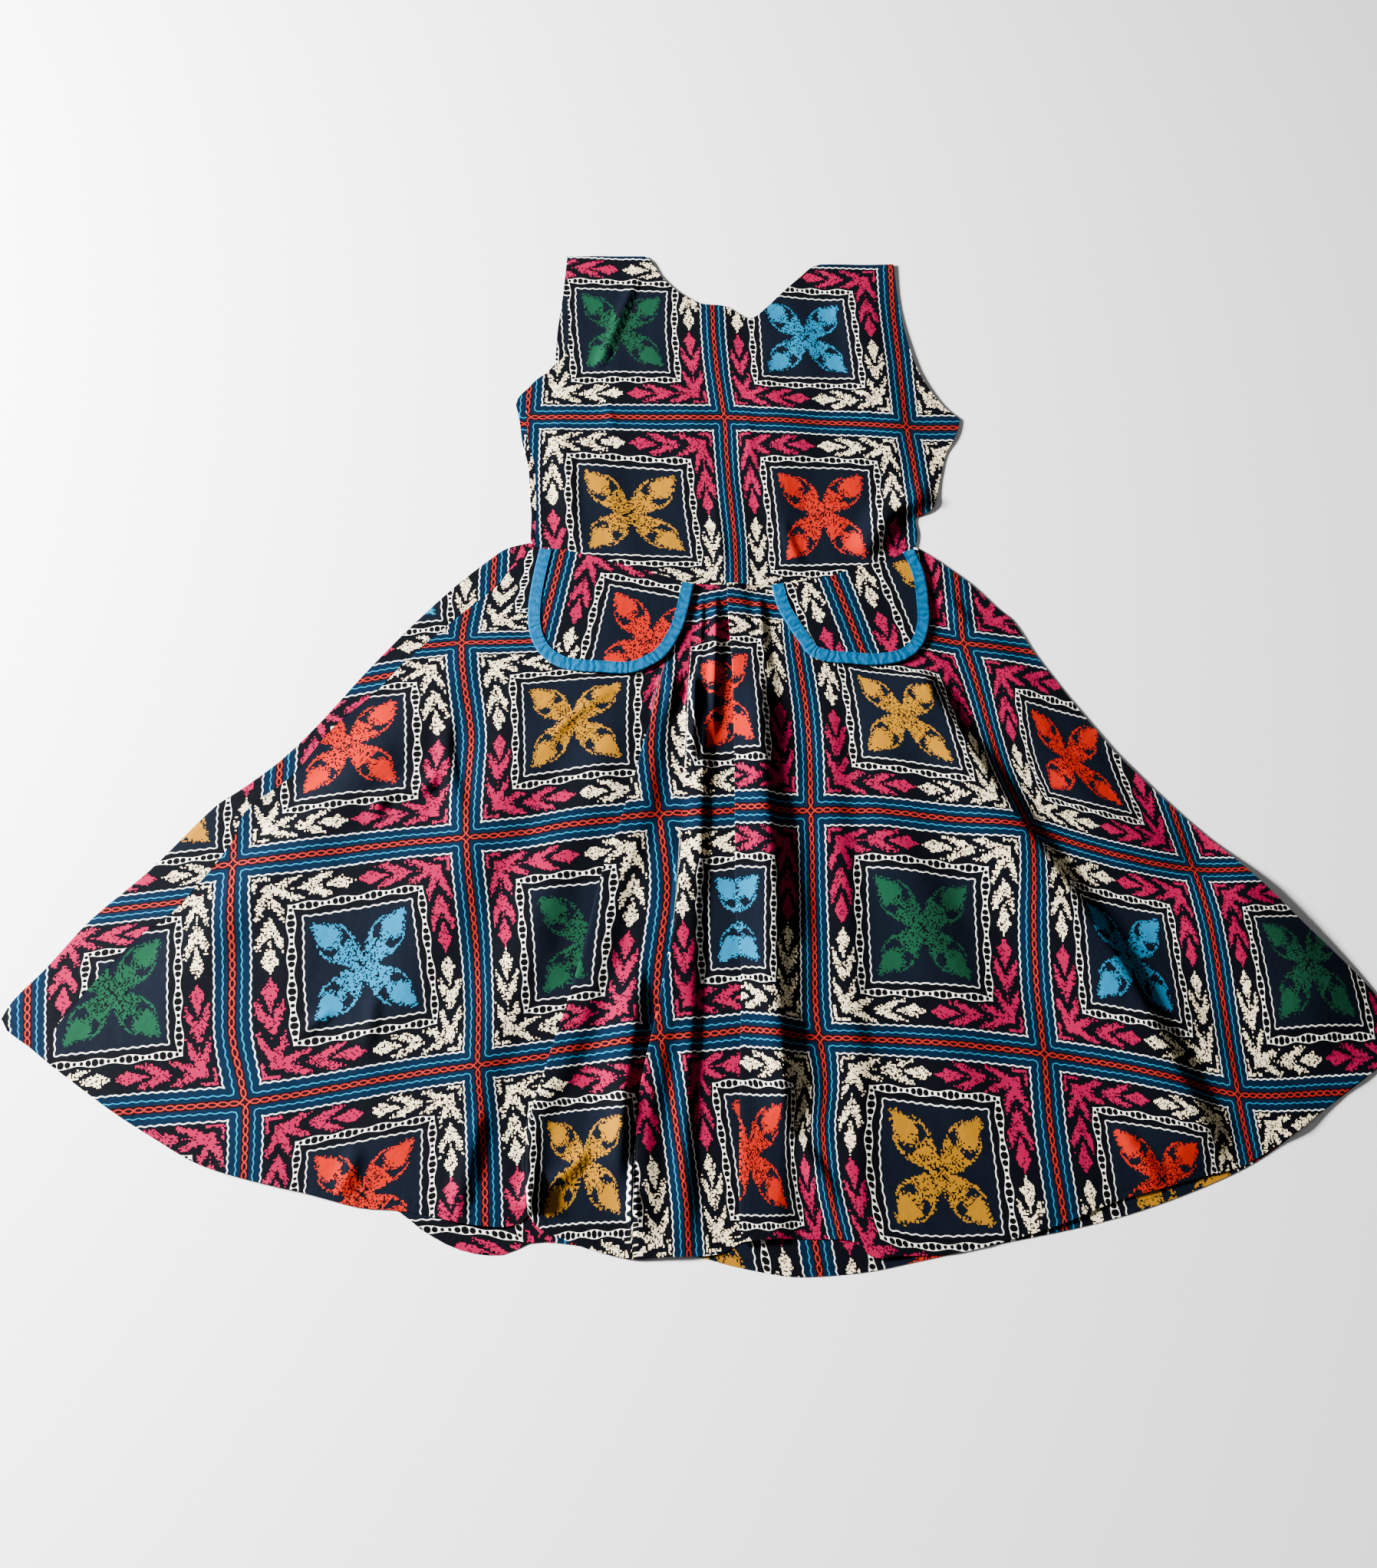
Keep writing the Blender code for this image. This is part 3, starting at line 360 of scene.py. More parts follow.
def near_curve(path, xy):
    """Distance to a path, the side (positive to its left) and the share along it."""
    path = np.array(path, float)
    run = lengths(path)
    best = np.full(len(xy), 1e9)
    side = np.zeros(len(xy))
    share = np.zeros(len(xy))
    for i in range(len(path) - 1):
        leg = path[i + 1] - path[i]
        u = np.clip(((xy - path[i]) @ leg) / (leg @ leg), 0, 1)
        away = xy - (path[i] + u[:, None] * leg)
        gap = np.linalg.norm(away, axis=1)
        closer = gap < best
        best[closer] = gap[closer]
        side[closer] = (leg[0] * away[:, 1] - leg[1] * away[:, 0])[closer]
        share[closer] = ((run[i] + u * (run[i + 1] - run[i])) / run[-1])[closer]
    return best, side, share


def unit(steps):
    """Steps of length 1 in the same directions."""
    return steps / np.linalg.norm(steps, axis=1)[:, None]


def share_of(points, place):
    """The share of a curve's length at which it passes nearest to a place."""
    return near_curve(points, np.array([place], float))[2][0]


def part_of(points, start, end):
    """The stretch of a curve between two shares of its length."""
    return at_share(points, np.linspace(start, end, 60))


def even_rows(points, counts, corners):
    """Shares of a curve with a given number of steps between its corners."""
    marks = [0.0] + [share_of(points, place) for place in corners] + [1.0]
    shares = [0.0]
    for i, count in enumerate(counts):
        shares += list(np.linspace(marks[i], marks[i + 1], count + 1)[1:])
    return np.array(shares)


def blend(left, right, top, bottom, corners, s, t):
    """A Coons patch from places on its sides and its corners, by the shares across and down."""
    between = ((1 - s) * (1 - t) * corners[0] + s * (1 - t) * corners[1]
               + (1 - s) * t * corners[2] + s * t * corners[3])
    return (1 - s) * left + s * right + (1 - t) * top + t * bottom - between


def coons(top, bottom, left, right, s, t):
    """A patch between four curves. s and t hold the shares across and down."""
    corners = top[0], top[-1], bottom[0], bottom[-1]
    return blend(at_share(left, t), at_share(right, t), at_share(top, s), at_share(bottom, s),
                 corners, np.clip(s, 0, 1)[..., None], t[..., None])


def ease(x, low, high):
    """A smooth step from 0 at low to 1 at high."""
    u = np.clip((x - low) / (high - low), 0, 1)
    return u * u * (3 - 2 * u)


def fold_height(folds, xy):
    """Height of the soft folds at each point."""
    height = np.zeros(len(xy))
    for path, width_left, width_right, rise, fade in folds:
        gap, side, share = near_curve(rounded(path, 4), xy)
        width = np.where(side > 0, width_left, width_right)
        shape = np.cos(np.clip(gap / width, 0, 1) * np.pi / 2) ** 2
        height += rise * shape * ease(share, -FOLD_LEAD, fade) * ease(1 - share, -FOLD_LEAD, fade)
    return height


def calm(curves, xy):
    """0 on the given curves, rising to 1 a short way off."""
    factor = np.ones(len(xy))
    for curve in curves:
        factor *= ease(near_curve(curve, xy)[0], 0, EDGE_CALM)
    return factor


def thin_plate(rows, places, stiffness):
    """A smooth map fitted through the measured places of the print.

    rows hold x, y, column and row of the print; places the points to look up.
    """
    rows = np.array(rows, float)
    at, target = rows[:, :2] / TILE, rows[:, 2:4]

    def kernel(a, b):
        gap = ((a[:, None] - b[None]) ** 2).sum(-1)
        return gap * np.log(np.maximum(gap, 1e-12)) / 2

    count = len(at)
    flat = np.column_stack([np.ones(count), at])
    system = np.zeros((count + 3, count + 3))
    system[:count, :count] = kernel(at, at) + stiffness * np.eye(count)
    system[:count, count:] = flat
    system[count:, :count] = flat.T
    weights = np.linalg.solve(system, np.concatenate([target, np.zeros((3, 2))]))
    places = np.array(places) / TILE
    out = kernel(places, at) @ weights[:count]
    return out + np.column_stack([np.ones(len(places)), places]) @ weights[count:]


def grid_quads(rows, columns, start=0):
    """Faces of a grid whose rows run down and columns run across, seen from above."""
    index = start + np.arange(rows * columns).reshape(rows, columns)
    quads = np.stack([index[:-1, :-1], index[1:, :-1], index[1:, 1:], index[:-1, 1:]], -1)
    return quads.reshape(-1, 4)


def cloth_wall(points, quads):
    """A closed thin wall round a middle surface: its points and its faces."""
    normals = np.zeros_like(points)
    for a, b, d in ((0, 1, 3), (1, 2, 0), (2, 3, 1), (3, 0, 2)):
        corner = np.cross(points[quads[:, b]] - points[quads[:, a]],
                          points[quads[:, d]] - points[quads[:, a]])
        corner /= np.maximum(np.linalg.norm(corner, axis=1), 1e-9)[:, None]
        np.add.at(normals, quads[:, a], corner)
    normals /= np.maximum(np.linalg.norm(normals, axis=1), 1e-9)[:, None]
    count = len(points)
    edges = np.concatenate([quads[:, [0, 1]], quads[:, [1, 2]], quads[:, [2, 3]], quads[:, [3, 0]]])
    known = {(int(a), int(b)) for a, b in edges}
    rim = [(b, a, a + count, b + count) for a, b in known if (b, a) not in known]
    faces = quads.tolist() + (quads[:, ::-1] + count).tolist() + sorted(rim)
    return np.concatenate([points + normals * CLOTH / 2, points - normals * CLOTH / 2]), faces


def stitch_places(xy, edges):
    """How far along and away from the nearest hemmed edge each point lies, in millimetres."""
    run, away = np.zeros(len(xy)), np.full(len(xy), 99.0)
    for table in edges:
        curve = rounded(table, 4)
        gap, _, share = near_curve(curve, xy)
        closer = gap < away
        away[closer], run[closer] = gap[closer], (share * lengths(curve)[-1])[closer]
    return np.column_stack([run, away])


def add_piece(name, surface, edges, material):
    """A shown piece round a middle surface, with the places of its print and its stitches."""
    points, faces = cloth_wall(*surface[:2])
    places = np.concatenate([surface[2], surface[2]])
    moved = (points - ORIGIN) * MM
    mesh = bpy.data.meshes.new(name)
    mesh.from_pydata(moved.tolist(), [], faces)
    mesh.validate()
    pairs = {"print_place": places, "stitch_place": stitch_places(points[:, :2], edges)}
    for attribute_name, pair in pairs.items():
        attribute = mesh.attributes.new(attribute_name, "FLOAT_VECTOR", "POINT")
        values = np.column_stack([pair, np.zeros(len(pair))])
        attribute.data.foreach_set("vector", values.astype(np.float32).ravel())
    mesh.materials.append(material)
    mesh.shade_smooth()
    mesh.set_sharp_from_angle(angle=SHARP_ANGLE)
    piece = bpy.data.objects.new(name, mesh)
    bpy.context.scene.collection.objects.link(piece)
    return piece


def ripples(xy, seed, across, along, turn):
    """Low uneven waves, longer along the drape than across it, from -1 to 1."""
    chance = np.random.default_rng(seed)
    total = np.zeros(len(xy))
    for _ in range(14):
        angle = turn + chance.normal(0, 0.22)
        length = across * chance.uniform(0.6, 1.8)
        axis = xy[:, 0] * np.cos(angle) + xy[:, 1] * np.sin(angle)
        other = -xy[:, 0] * np.sin(angle) + xy[:, 1] * np.cos(angle)
        sway = np.sin(other / along * 2 * np.pi * chance.uniform(0.5, 1.3) + chance.uniform(0, 6.3))
        total += np.sin(axis / length * 2 * np.pi + sway * 1.3 + chance.uniform(0, 6.3))
    return total / 14 ** 0.5 / 1.6


def pleat_state(name, y):
    """Depth of a pleat at a height, how far it has lifted and how far it has folded."""
    table = sorted(PLEAT_DEPTH[name])
    depth = np.interp(y, [row[0] for row in table], [row[1] for row in table])
    start, start_ramp, end = PLEAT_REACH[name]
    below, above = (start - y) / start_ramp, (y - end) / END_RAMP
    lifted = np.clip(np.minimum(below, above), 0, 1)
    folded = np.clip((np.minimum(below, above) - 2) / 2, 0, 1)
    return depth, lifted, folded


def pleat_section():
    """Cross-section of a pleat: share of depth, offset folded, offset open, level, run share."""
    run = np.linspace(0, 1, SECTION_RUN + 1)
    turn = np.linspace(0, np.pi, SECTION_TURN + 1)[1:-1]
    half = PLEAT_STEP / 2
    rows = [(s, PLEAT_LEAN * (s - 1), 0.0) for s in run]
    rows += [(1.0, PLEAT_BULGE * np.sin(a), half * (1 - np.cos(a))) for a in turn]
    rows += [(1 - s, 0.0, PLEAT_STEP + 2 * (1 - PLEAT_STEP) * s) for s in run]
    rows += [(0.0, -PLEAT_BULGE * np.sin(a), 2 - half - half * np.cos(a)) for a in turn]
    rows += [(s, PLEAT_LEAN * s, 2.0) for s in run]
    share, closed, level = np.array(rows).T
    opened = np.linspace(-OPEN_PLEAT, OPEN_PLEAT, len(rows))
    path = lengths(np.column_stack([share * 30 + closed, level * PLEAT_LEVEL]))
    first, last = SECTION_RUN, len(rows) - 1 - SECTION_RUN
    hidden = np.clip((path - path[first]) / (path[last] - path[first]), 0, 1)
    return share, closed, opened, level, hidden


def skirt_height(xy, calm_curves):
    """Height of the front skirt's middle surface without its pleats."""
    rise = fold_height(SKIRT_FOLDS, xy)
    turn = np.arctan2(FAN_TOP - xy[:, 1], xy[:, 0]) - np.pi / 2
    polar = np.column_stack([turn * FAN_RADIUS, xy[:, 1]])
    growth = ease(-xy[:, 1], -20, 500)
    rise += (0.9 + 1.1 * growth) * ripples(polar, seed=5, across=95, along=900, turn=0.0)
    rise += 0.45 * ripples(xy, seed=8, across=46, along=160, turn=0.6)
    rise *= calm(calm_curves, xy)
    for left, right, bottom in FLAP_BOXES:
        outside = np.max([left - xy[:, 0], xy[:, 0] - right, bottom - xy[:, 1]], axis=0)
        rise *= ease(outside, 0, FLAP_CALM)
    return FRONT_LEVEL + np.maximum(rise, SKIRT_DIP)


def skirt_strips(t):
    """The five strips of the front skirt between its side edges, pleats and big fold."""
    waist, hem = rounded(WAIST), rounded(HEM_FRONT)
    tables = [SIDE_SEAM, PLEAT_LINES["left"], PLEAT_LINES["middle"], PLEAT_LINES["centre"],
              RIGHT_FOLD, SKIRT_RIGHT_EDGE]
    lines = [rounded(table) for table in tables]
    strips = []
    for left, right in zip(lines[:-1], lines[1:]):
        top = part_of(waist, share_of(waist, left[0]), share_of(waist, right[0]))
        bottom = part_of(hem, share_of(hem, left[-1]), share_of(hem, right[-1]))
        top[0], top[-1], bottom[0], bottom[-1] = left[0], right[0], left[-1], right[-1]
        start, end = at_share(left, t), at_share(right, t)
        strips.append({"curves": (top, bottom, left, right), "start_y": start[:, 1],
                       "end_y": end[:, 1], "width": np.linalg.norm(end - start, axis=1)})
    return strips


def skirt_front_surface():
    """Middle surface of the front skirt and the place of the print on it."""
    t = np.linspace(0, 1, SKIRT_ROWS + 1) ** ROW_CROWDING
    strips = skirt_strips(t)
    names = list(PLEAT_LINES)
    columns = list(STRIP_COLUMNS.values())
    share_depth, closed, opened, level, hidden = pleat_section()
    prints = [LEFT_PRINT, INNER_PRINT, MIDDLE_PRINT, RIGHT_PRINT, RIGHT_PRINT]
    flat, lift, places = [], [], []

    def print_at(strip_number, xy):
        found = thin_plate(prints[strip_number], xy.reshape(-1, 2), FRONT_STIFFNESS)
        return found.reshape(xy.shape)

    for k, strip in enumerate(strips):
        width = strip["width"]
        start, stop = np.zeros(len(t)), np.ones(len(t))
        lifted = np.zeros(len(t))
        if 0 < k < 4:
            depth, lifted, folded = pleat_state(names[k - 1], strip["start_y"])
            start = (opened[-1] + (depth + closed[-1] - opened[-1]) * folded) / width
        if k < 3:
            folded = pleat_state(names[k], strip["end_y"])[2]
            stop = 1 + (opened[0] + (closed[0] - opened[0]) * folded) / width
        count, crowding = columns[k]
        share = np.linspace(0, 1, count + 1)[None, 1 if 0 < k else 0:] ** crowding
        if k < 3:
            share = share[:, :-1]
        s = start[:, None] + (stop - start)[:, None] * share
        rows = np.repeat(t[:, None], s.shape[1], axis=1)
        away = (s - start[:, None]) * width[:, None]
        place = coons(*strip["curves"], s, rows)
        flat.append(place)
        lift.append(2 * PLEAT_LEVEL * lifted[:, None] * (1 - ease(away, 0, PLEAT_FADE)))
        places.append(print_at(k, place))
        if k >= 3:
            continue
        after = strips[k + 1]
        depth, lifted, folded = pleat_state(names[k], after["start_y"])
        layers = []
        for i in range(len(level)):
            offset = opened[i] + (share_depth[i] * depth + closed[i] - opened[i]) * folded
            before_line = coons(*strip["curves"], 1 + offset / width, t)
            past_line = coons(*after["curves"], offset / after["width"], t)
            layers.append(np.where((offset < 0)[:, None], before_line, past_line))
            lift.append((level[i] * PLEAT_LEVEL * lifted)[:, None])
        layers = np.stack(layers, axis=1)
        flat.append(layers)
        under, over = print_at(k, layers), print_at(k + 1, layers)
        first, last = SECTION_RUN, len(level) - 1 - SECTION_RUN
        under[:, first + 1:] = under[:, first:first + 1]
        over[:, :last] = over[:, last:last + 1]
        places.append(under + (over - under) * hidden[None, :, None])
    flat, lift, places = (np.concatenate(part, axis=1) for part in (flat, lift, places))
    xy = flat.reshape(-1, 2)
    calm_curves = [rounded(WAIST), rounded(SIDE_SEAM)]
    z = skirt_height(xy, calm_curves) + lift.reshape(-1)
    return np.column_stack([xy, z]), grid_quads(*lift.shape), places.reshape(-1, 2)


def wrapped_back(lower, edge, seam, first_row):
    """A back panel's flat sheet, folded over its left edge and returned to the side seam."""
    rows, columns = lower.shape[:2]
    flat = lower.reshape(-1, 2)
    points = [np.column_stack([flat, np.full(len(flat), BACK_LEVEL)])]
    quads = [grid_quads(rows, columns)]
    inward = unit(seam - edge)
    previous = (first_row + np.arange(len(edge))) * columns
    count = len(flat)
    levels = []
    for angle in np.linspace(0, np.pi, 9)[1:]:
        away = CLOTH / 2 + FOLD_RADIUS * (1 - np.sin(angle))
        levels.append((edge + inward * away, BACK_LEVEL + FOLD_RADIUS * (1 - np.cos(angle))))
    over = levels[-1][0]
    for share in np.linspace(0, 1, 7)[1:]:
        levels.append((over + (seam - over) * share, FRONT_LEVEL))
    for place, level in levels:
        points.append(np.column_stack([place, np.full(len(place), level)]))
        current = count + np.arange(len(place))
        quads.append(np.column_stack([current[:-1], current[1:], previous[1:], previous[:-1]]))
        previous = current
        count += len(place)
    return np.concatenate(points), np.concatenate(quads)


def skirt_back_surface():
    """Middle surface of the back skirt."""
    right = rounded(SKIRT_RIGHT_EDGE) + SKIRT_INSET
    waist = rounded(WAIST_BACK) + (0.0, -SEAM_GAP / 2)
    hem = rounded(HEM_BACK)
    t = np.linspace(0, 1, BACK_ROWS + 1) ** ROW_CROWDING
    edge = at_share(rounded(SKIRT_LEFT_EDGE), t)
    seam = at_share(rounded(SIDE_SEAM), t)
    inward = unit(seam - edge)
    left = edge + inward * (CLOTH / 2 + FOLD_RADIUS)
    right[0], right[-1] = waist[-1], hem[-1]
    waist[0], hem[0] = left[0], left[-1]
    lower = coons(waist, hem, left, right, *np.meshgrid(np.linspace(0, 1, BACK_COLUMNS + 1), t))
    lower[:, 0] = left
    points, quads = wrapped_back(lower, edge, seam - inward * SIDE_GAP, 0)
    return points, quads, thin_plate(BACK_PRINT, points[:, :2], BACK_STIFFNESS)


def bodice_grid(left, right, top, bottom):
    """Grid of a bodice panel between its left and right edge points, with columns at the straps."""
    neck = [BODICE_TOP[corner][:2] for corner in (2, 9, 15)]
    top = at_share(top, even_rows(top, BODICE_COLUMNS, neck))
    s = np.linspace(0, 1, len(top))
    bottom = at_share(bottom, s)
    corners = top[0], top[-1], bottom[0], bottom[-1] = left[0], right[0], left[-1], right[-1]
    run_left, run_right = lengths(left), lengths(right)
    t = (run_left / run_left[-1] + run_right / run_right[-1])[:, None, None] / 2
    return blend(left[:, None], right[:, None], top, bottom, corners, s[None, :, None], t)


def bodice_side(table, corners, shift=(0.0, 0.0)):
    """Edge points of a bodice panel, with rows at the armhole's end and the underarm."""
    curve = rounded(table)
    shares = even_rows(curve, BODICE_ROWS, [table[corner][:2] for corner in corners])
    return at_share(curve, shares) + shift


def bodice_front_surface():
    """Middle surface of the front bodice."""
    waist = rounded(WAIST) + (0.0, SEAM_GAP)
    left = bodice_side(BODICE_LEFT, (3, 5))
    right = bodice_side(BODICE_RIGHT, (4, 6))
    left[-1], right[-1] = waist[0], waist[-1]
    grid = bodice_grid(left, right, rounded(BODICE_TOP), waist)
    xy = grid.reshape(-1, 2)
    rise = fold_height(BODICE_FOLDS, xy)
    rise += 0.85 * ripples(xy, seed=11, across=70, along=260, turn=0.25)
    z = FRONT_LEVEL + np.maximum(rise * calm([waist, left], xy), BODICE_DIP)
    places = thin_plate(BODICE_PRINT, xy, FRONT_STIFFNESS)
    return np.column_stack([xy, z]), grid_quads(*grid.shape[:2]), places


def bodice_back_surface():
    """Middle surface of the back bodice, with the strip that shows at the left side."""
    waist = rounded(WAIST_BACK) + (0.0, SEAM_GAP)
    edge = bodice_side(BODICE_LEFT_EDGE, (3, 6))
    seam = bodice_side(BODICE_LEFT, (3, 5))
    right = bodice_side(BODICE_RIGHT, (4, 6), BODICE_INSET)
    first = BODICE_ROWS[0] + BODICE_ROWS[1]
    edge[-1], right[-1] = waist[0] + WAIST_CORNER, waist[-1]
    seam[-1] += (0.0, 2 * SEAM_GAP)
    inward = unit(seam[first:] - edge[first:])
    left = edge.copy()
    left[first:] += inward * (CLOTH / 2 + FOLD_RADIUS)
    grid = bodice_grid(left, right, rounded(BODICE_TOP) + NECK_INSET, waist)
    points, quads = wrapped_back(grid, edge[first:], seam[first:] - inward * SIDE_GAP, first)
    places = thin_plate(BODICE_PRINT, points[:, :2] + BACK_SHIFT, BACK_STIFFNESS)
    return points, quads, places


def flap_height(xy):
    """Height of a flap's middle surface."""
    return FLAP_LEVEL + fold_height(FLAP_FOLDS, xy)


def inward_of(edge):
    """Unit steps square to a flap's edge, towards its middle."""
    along = unit(np.gradient(edge, axis=0))
    return np.column_stack([-along[:, 1], along[:, 0]])


def flap_surface(edge_table, name):
    """Middle surface of a rounded flap that hangs from the waist seam."""
    waist = rounded(WAIST) + (0.0, -FLAP_DROP)
    edge = rounded(edge_table)
    edge += inward_of(edge) * FLAP_INSET
    top = part_of(waist, share_of(waist, edge[0]), share_of(waist, edge[-1]))
    middle = part_of(edge, FLAP_SIDE, 1 - FLAP_SIDE)
    left, right = part_of(edge, 0, FLAP_SIDE), part_of(edge, 1, 1 - FLAP_SIDE)
    top[0], top[-1] = left[0], right[0]
    s, t = np.meshgrid(np.linspace(0, 1, FLAP_COLUMNS + 1), np.linspace(0, 1, FLAP_ROWS + 1))
    grid = coons(top, middle, left, right, s, t)
    xy = grid.reshape(-1, 2)
    z = flap_height(xy)
    x, y, column, row, turn = FLAP_PRINT[name]
    c, s = math.cos(math.radians(turn)), math.sin(math.radians(turn))
    away = (xy - (x, y)) / TILE
    places = np.column_stack([column + away[:, 0] * c + away[:, 1] * s,
                              row + away[:, 0] * s - away[:, 1] * c])
    return np.column_stack([xy, z]), grid_quads(FLAP_ROWS + 1, FLAP_COLUMNS + 1), places


def math_method(operation, turned=False):
    """A method that adds a math node for its terms, in the other order if turned."""
    def method(*terms):
        return Term.math(operation, *(terms[::-1] if turned else terms))
    return method


class Term:
    """A value in a material's nodes, so that the print can be written as formulas."""

    tree = None
    __add__, __radd__ = math_method("ADD"), math_method("ADD", turned=True)
    __sub__, __rsub__ = math_method("SUBTRACT"), math_method("SUBTRACT", turned=True)
    __mul__, __rmul__ = math_method("MULTIPLY"), math_method("MULTIPLY", turned=True)
    __truediv__, __abs__ = math_method("DIVIDE"), math_method("ABSOLUTE")
    __lt__, __gt__ = math_method("LESS_THAN"), math_method("GREATER_THAN")
    floor, fract = math_method("FLOOR"), math_method("FRACT")
    sine, cosine, power = math_method("SINE"), math_method("COSINE"), math_method("POWER")

    def __init__(self, socket):
        self.socket = socket

    @staticmethod
    def math(operation, *terms):
        node = add_node("Math")
        node.operation = operation
        for place, term in zip(node.inputs, terms):
            if isinstance(term, Term):
                join(term.socket, place)
            else:
                place.default_value = term
        return Term(node.outputs[0])

    def squared(self):
        return self * self


def add_node(kind):
    """A new node of the material that is being made."""
    return Term.tree.nodes.new("ShaderNode" + kind)


def join(source, target):
    """Joins two sockets of the material that is being made."""
    Term.tree.links.new(source, target)


def least(*terms):
    """The least of some values; as masks, where all of them hold."""
    return reduce(math_method("MINIMUM"), terms)


def most(*terms):
    """The greatest of some values; as masks, where any of them holds."""
    return reduce(math_method("MAXIMUM"), terms)


def ramp(term, low, high):
    """0 below low, 1 above high and straight between."""
    return least(most((term - low) / (high - low), 0.0), 1.0)


def vector_of(x, y):
    """A vector of two values."""
    node = add_node("CombineXYZ")
    join(x.socket, node.inputs[0])
    join(y.socket, node.inputs[1])
    return node.outputs[0]


def chance_at(x, y, shift=0.0):
    """An even chance from 0 to 1 for each whole pair of numbers."""
    node = add_node("TexWhiteNoise")
    node.noise_dimensions = "2D"
    join(vector_of(x + shift, y), node.inputs["Vector"])
    return Term(node.outputs["Value"])


def noise_at(x, y, scale, detail=2.0):
    """Soft noise from 0 to 1."""
    node = add_node("TexNoise")
    node.noise_dimensions = "2D"
    node.inputs["Scale"].default_value = scale
    node.inputs["Detail"].default_value = detail
    join(vector_of(x, y), node.inputs["Vector"])
    return Term(node.outputs["Fac"])


def colour_mix(under, over, share):
    """One colour laid over another by a share, as a node's output."""
    node = add_node("Mix")
    node.data_type = "RGBA"
    node.clamp_factor = True
    join(share.socket, node.inputs[0])
    for place, colour in ((node.inputs[6], under), (node.inputs[7], over)):
        if isinstance(colour, str):
            place.default_value = (*INKS[colour], 1.0)
        else:
            join(colour, place)
    return node.outputs[2]


def attribute_pair(name):
    """The first two values of a point attribute."""
    attribute = add_node("Attribute")
    attribute.attribute_name = name
    split = add_node("SeparateXYZ")
    join(attribute.outputs["Vector"], split.inputs[0])
    return Term(split.outputs[0]), Term(split.outputs[1])


def new_cloth(name, sheen):
    """A cloth material, its shader and its two printed coordinates."""
    material = bpy.data.materials.new(name)
    material.use_nodes = True
    Term.tree = material.node_tree
    shader = Term.tree.nodes["Principled BSDF"]
    for socket, value in (
            ("Roughness", 0.82), ("Specular IOR Level", 0.03), ("Sheen Weight", sheen),
            ("Sheen Roughness", 0.45), ("Sheen Tint", (0.75, 0.85, 1.0, 1.0))):
        shader.inputs[socket].default_value = value
    return material, shader, *attribute_pair("print_place")


def add_bump(shader, height, distance, strength):
    """Small relief on a shader, from a height between 0 and 1."""
    bump = add_node("Bump")
    bump.inputs["Distance"].default_value = distance
    bump.inputs["Strength"].default_value = strength
    join(height.socket, bump.inputs["Height"])
    join(bump.outputs["Normal"], shader.inputs["Normal"])


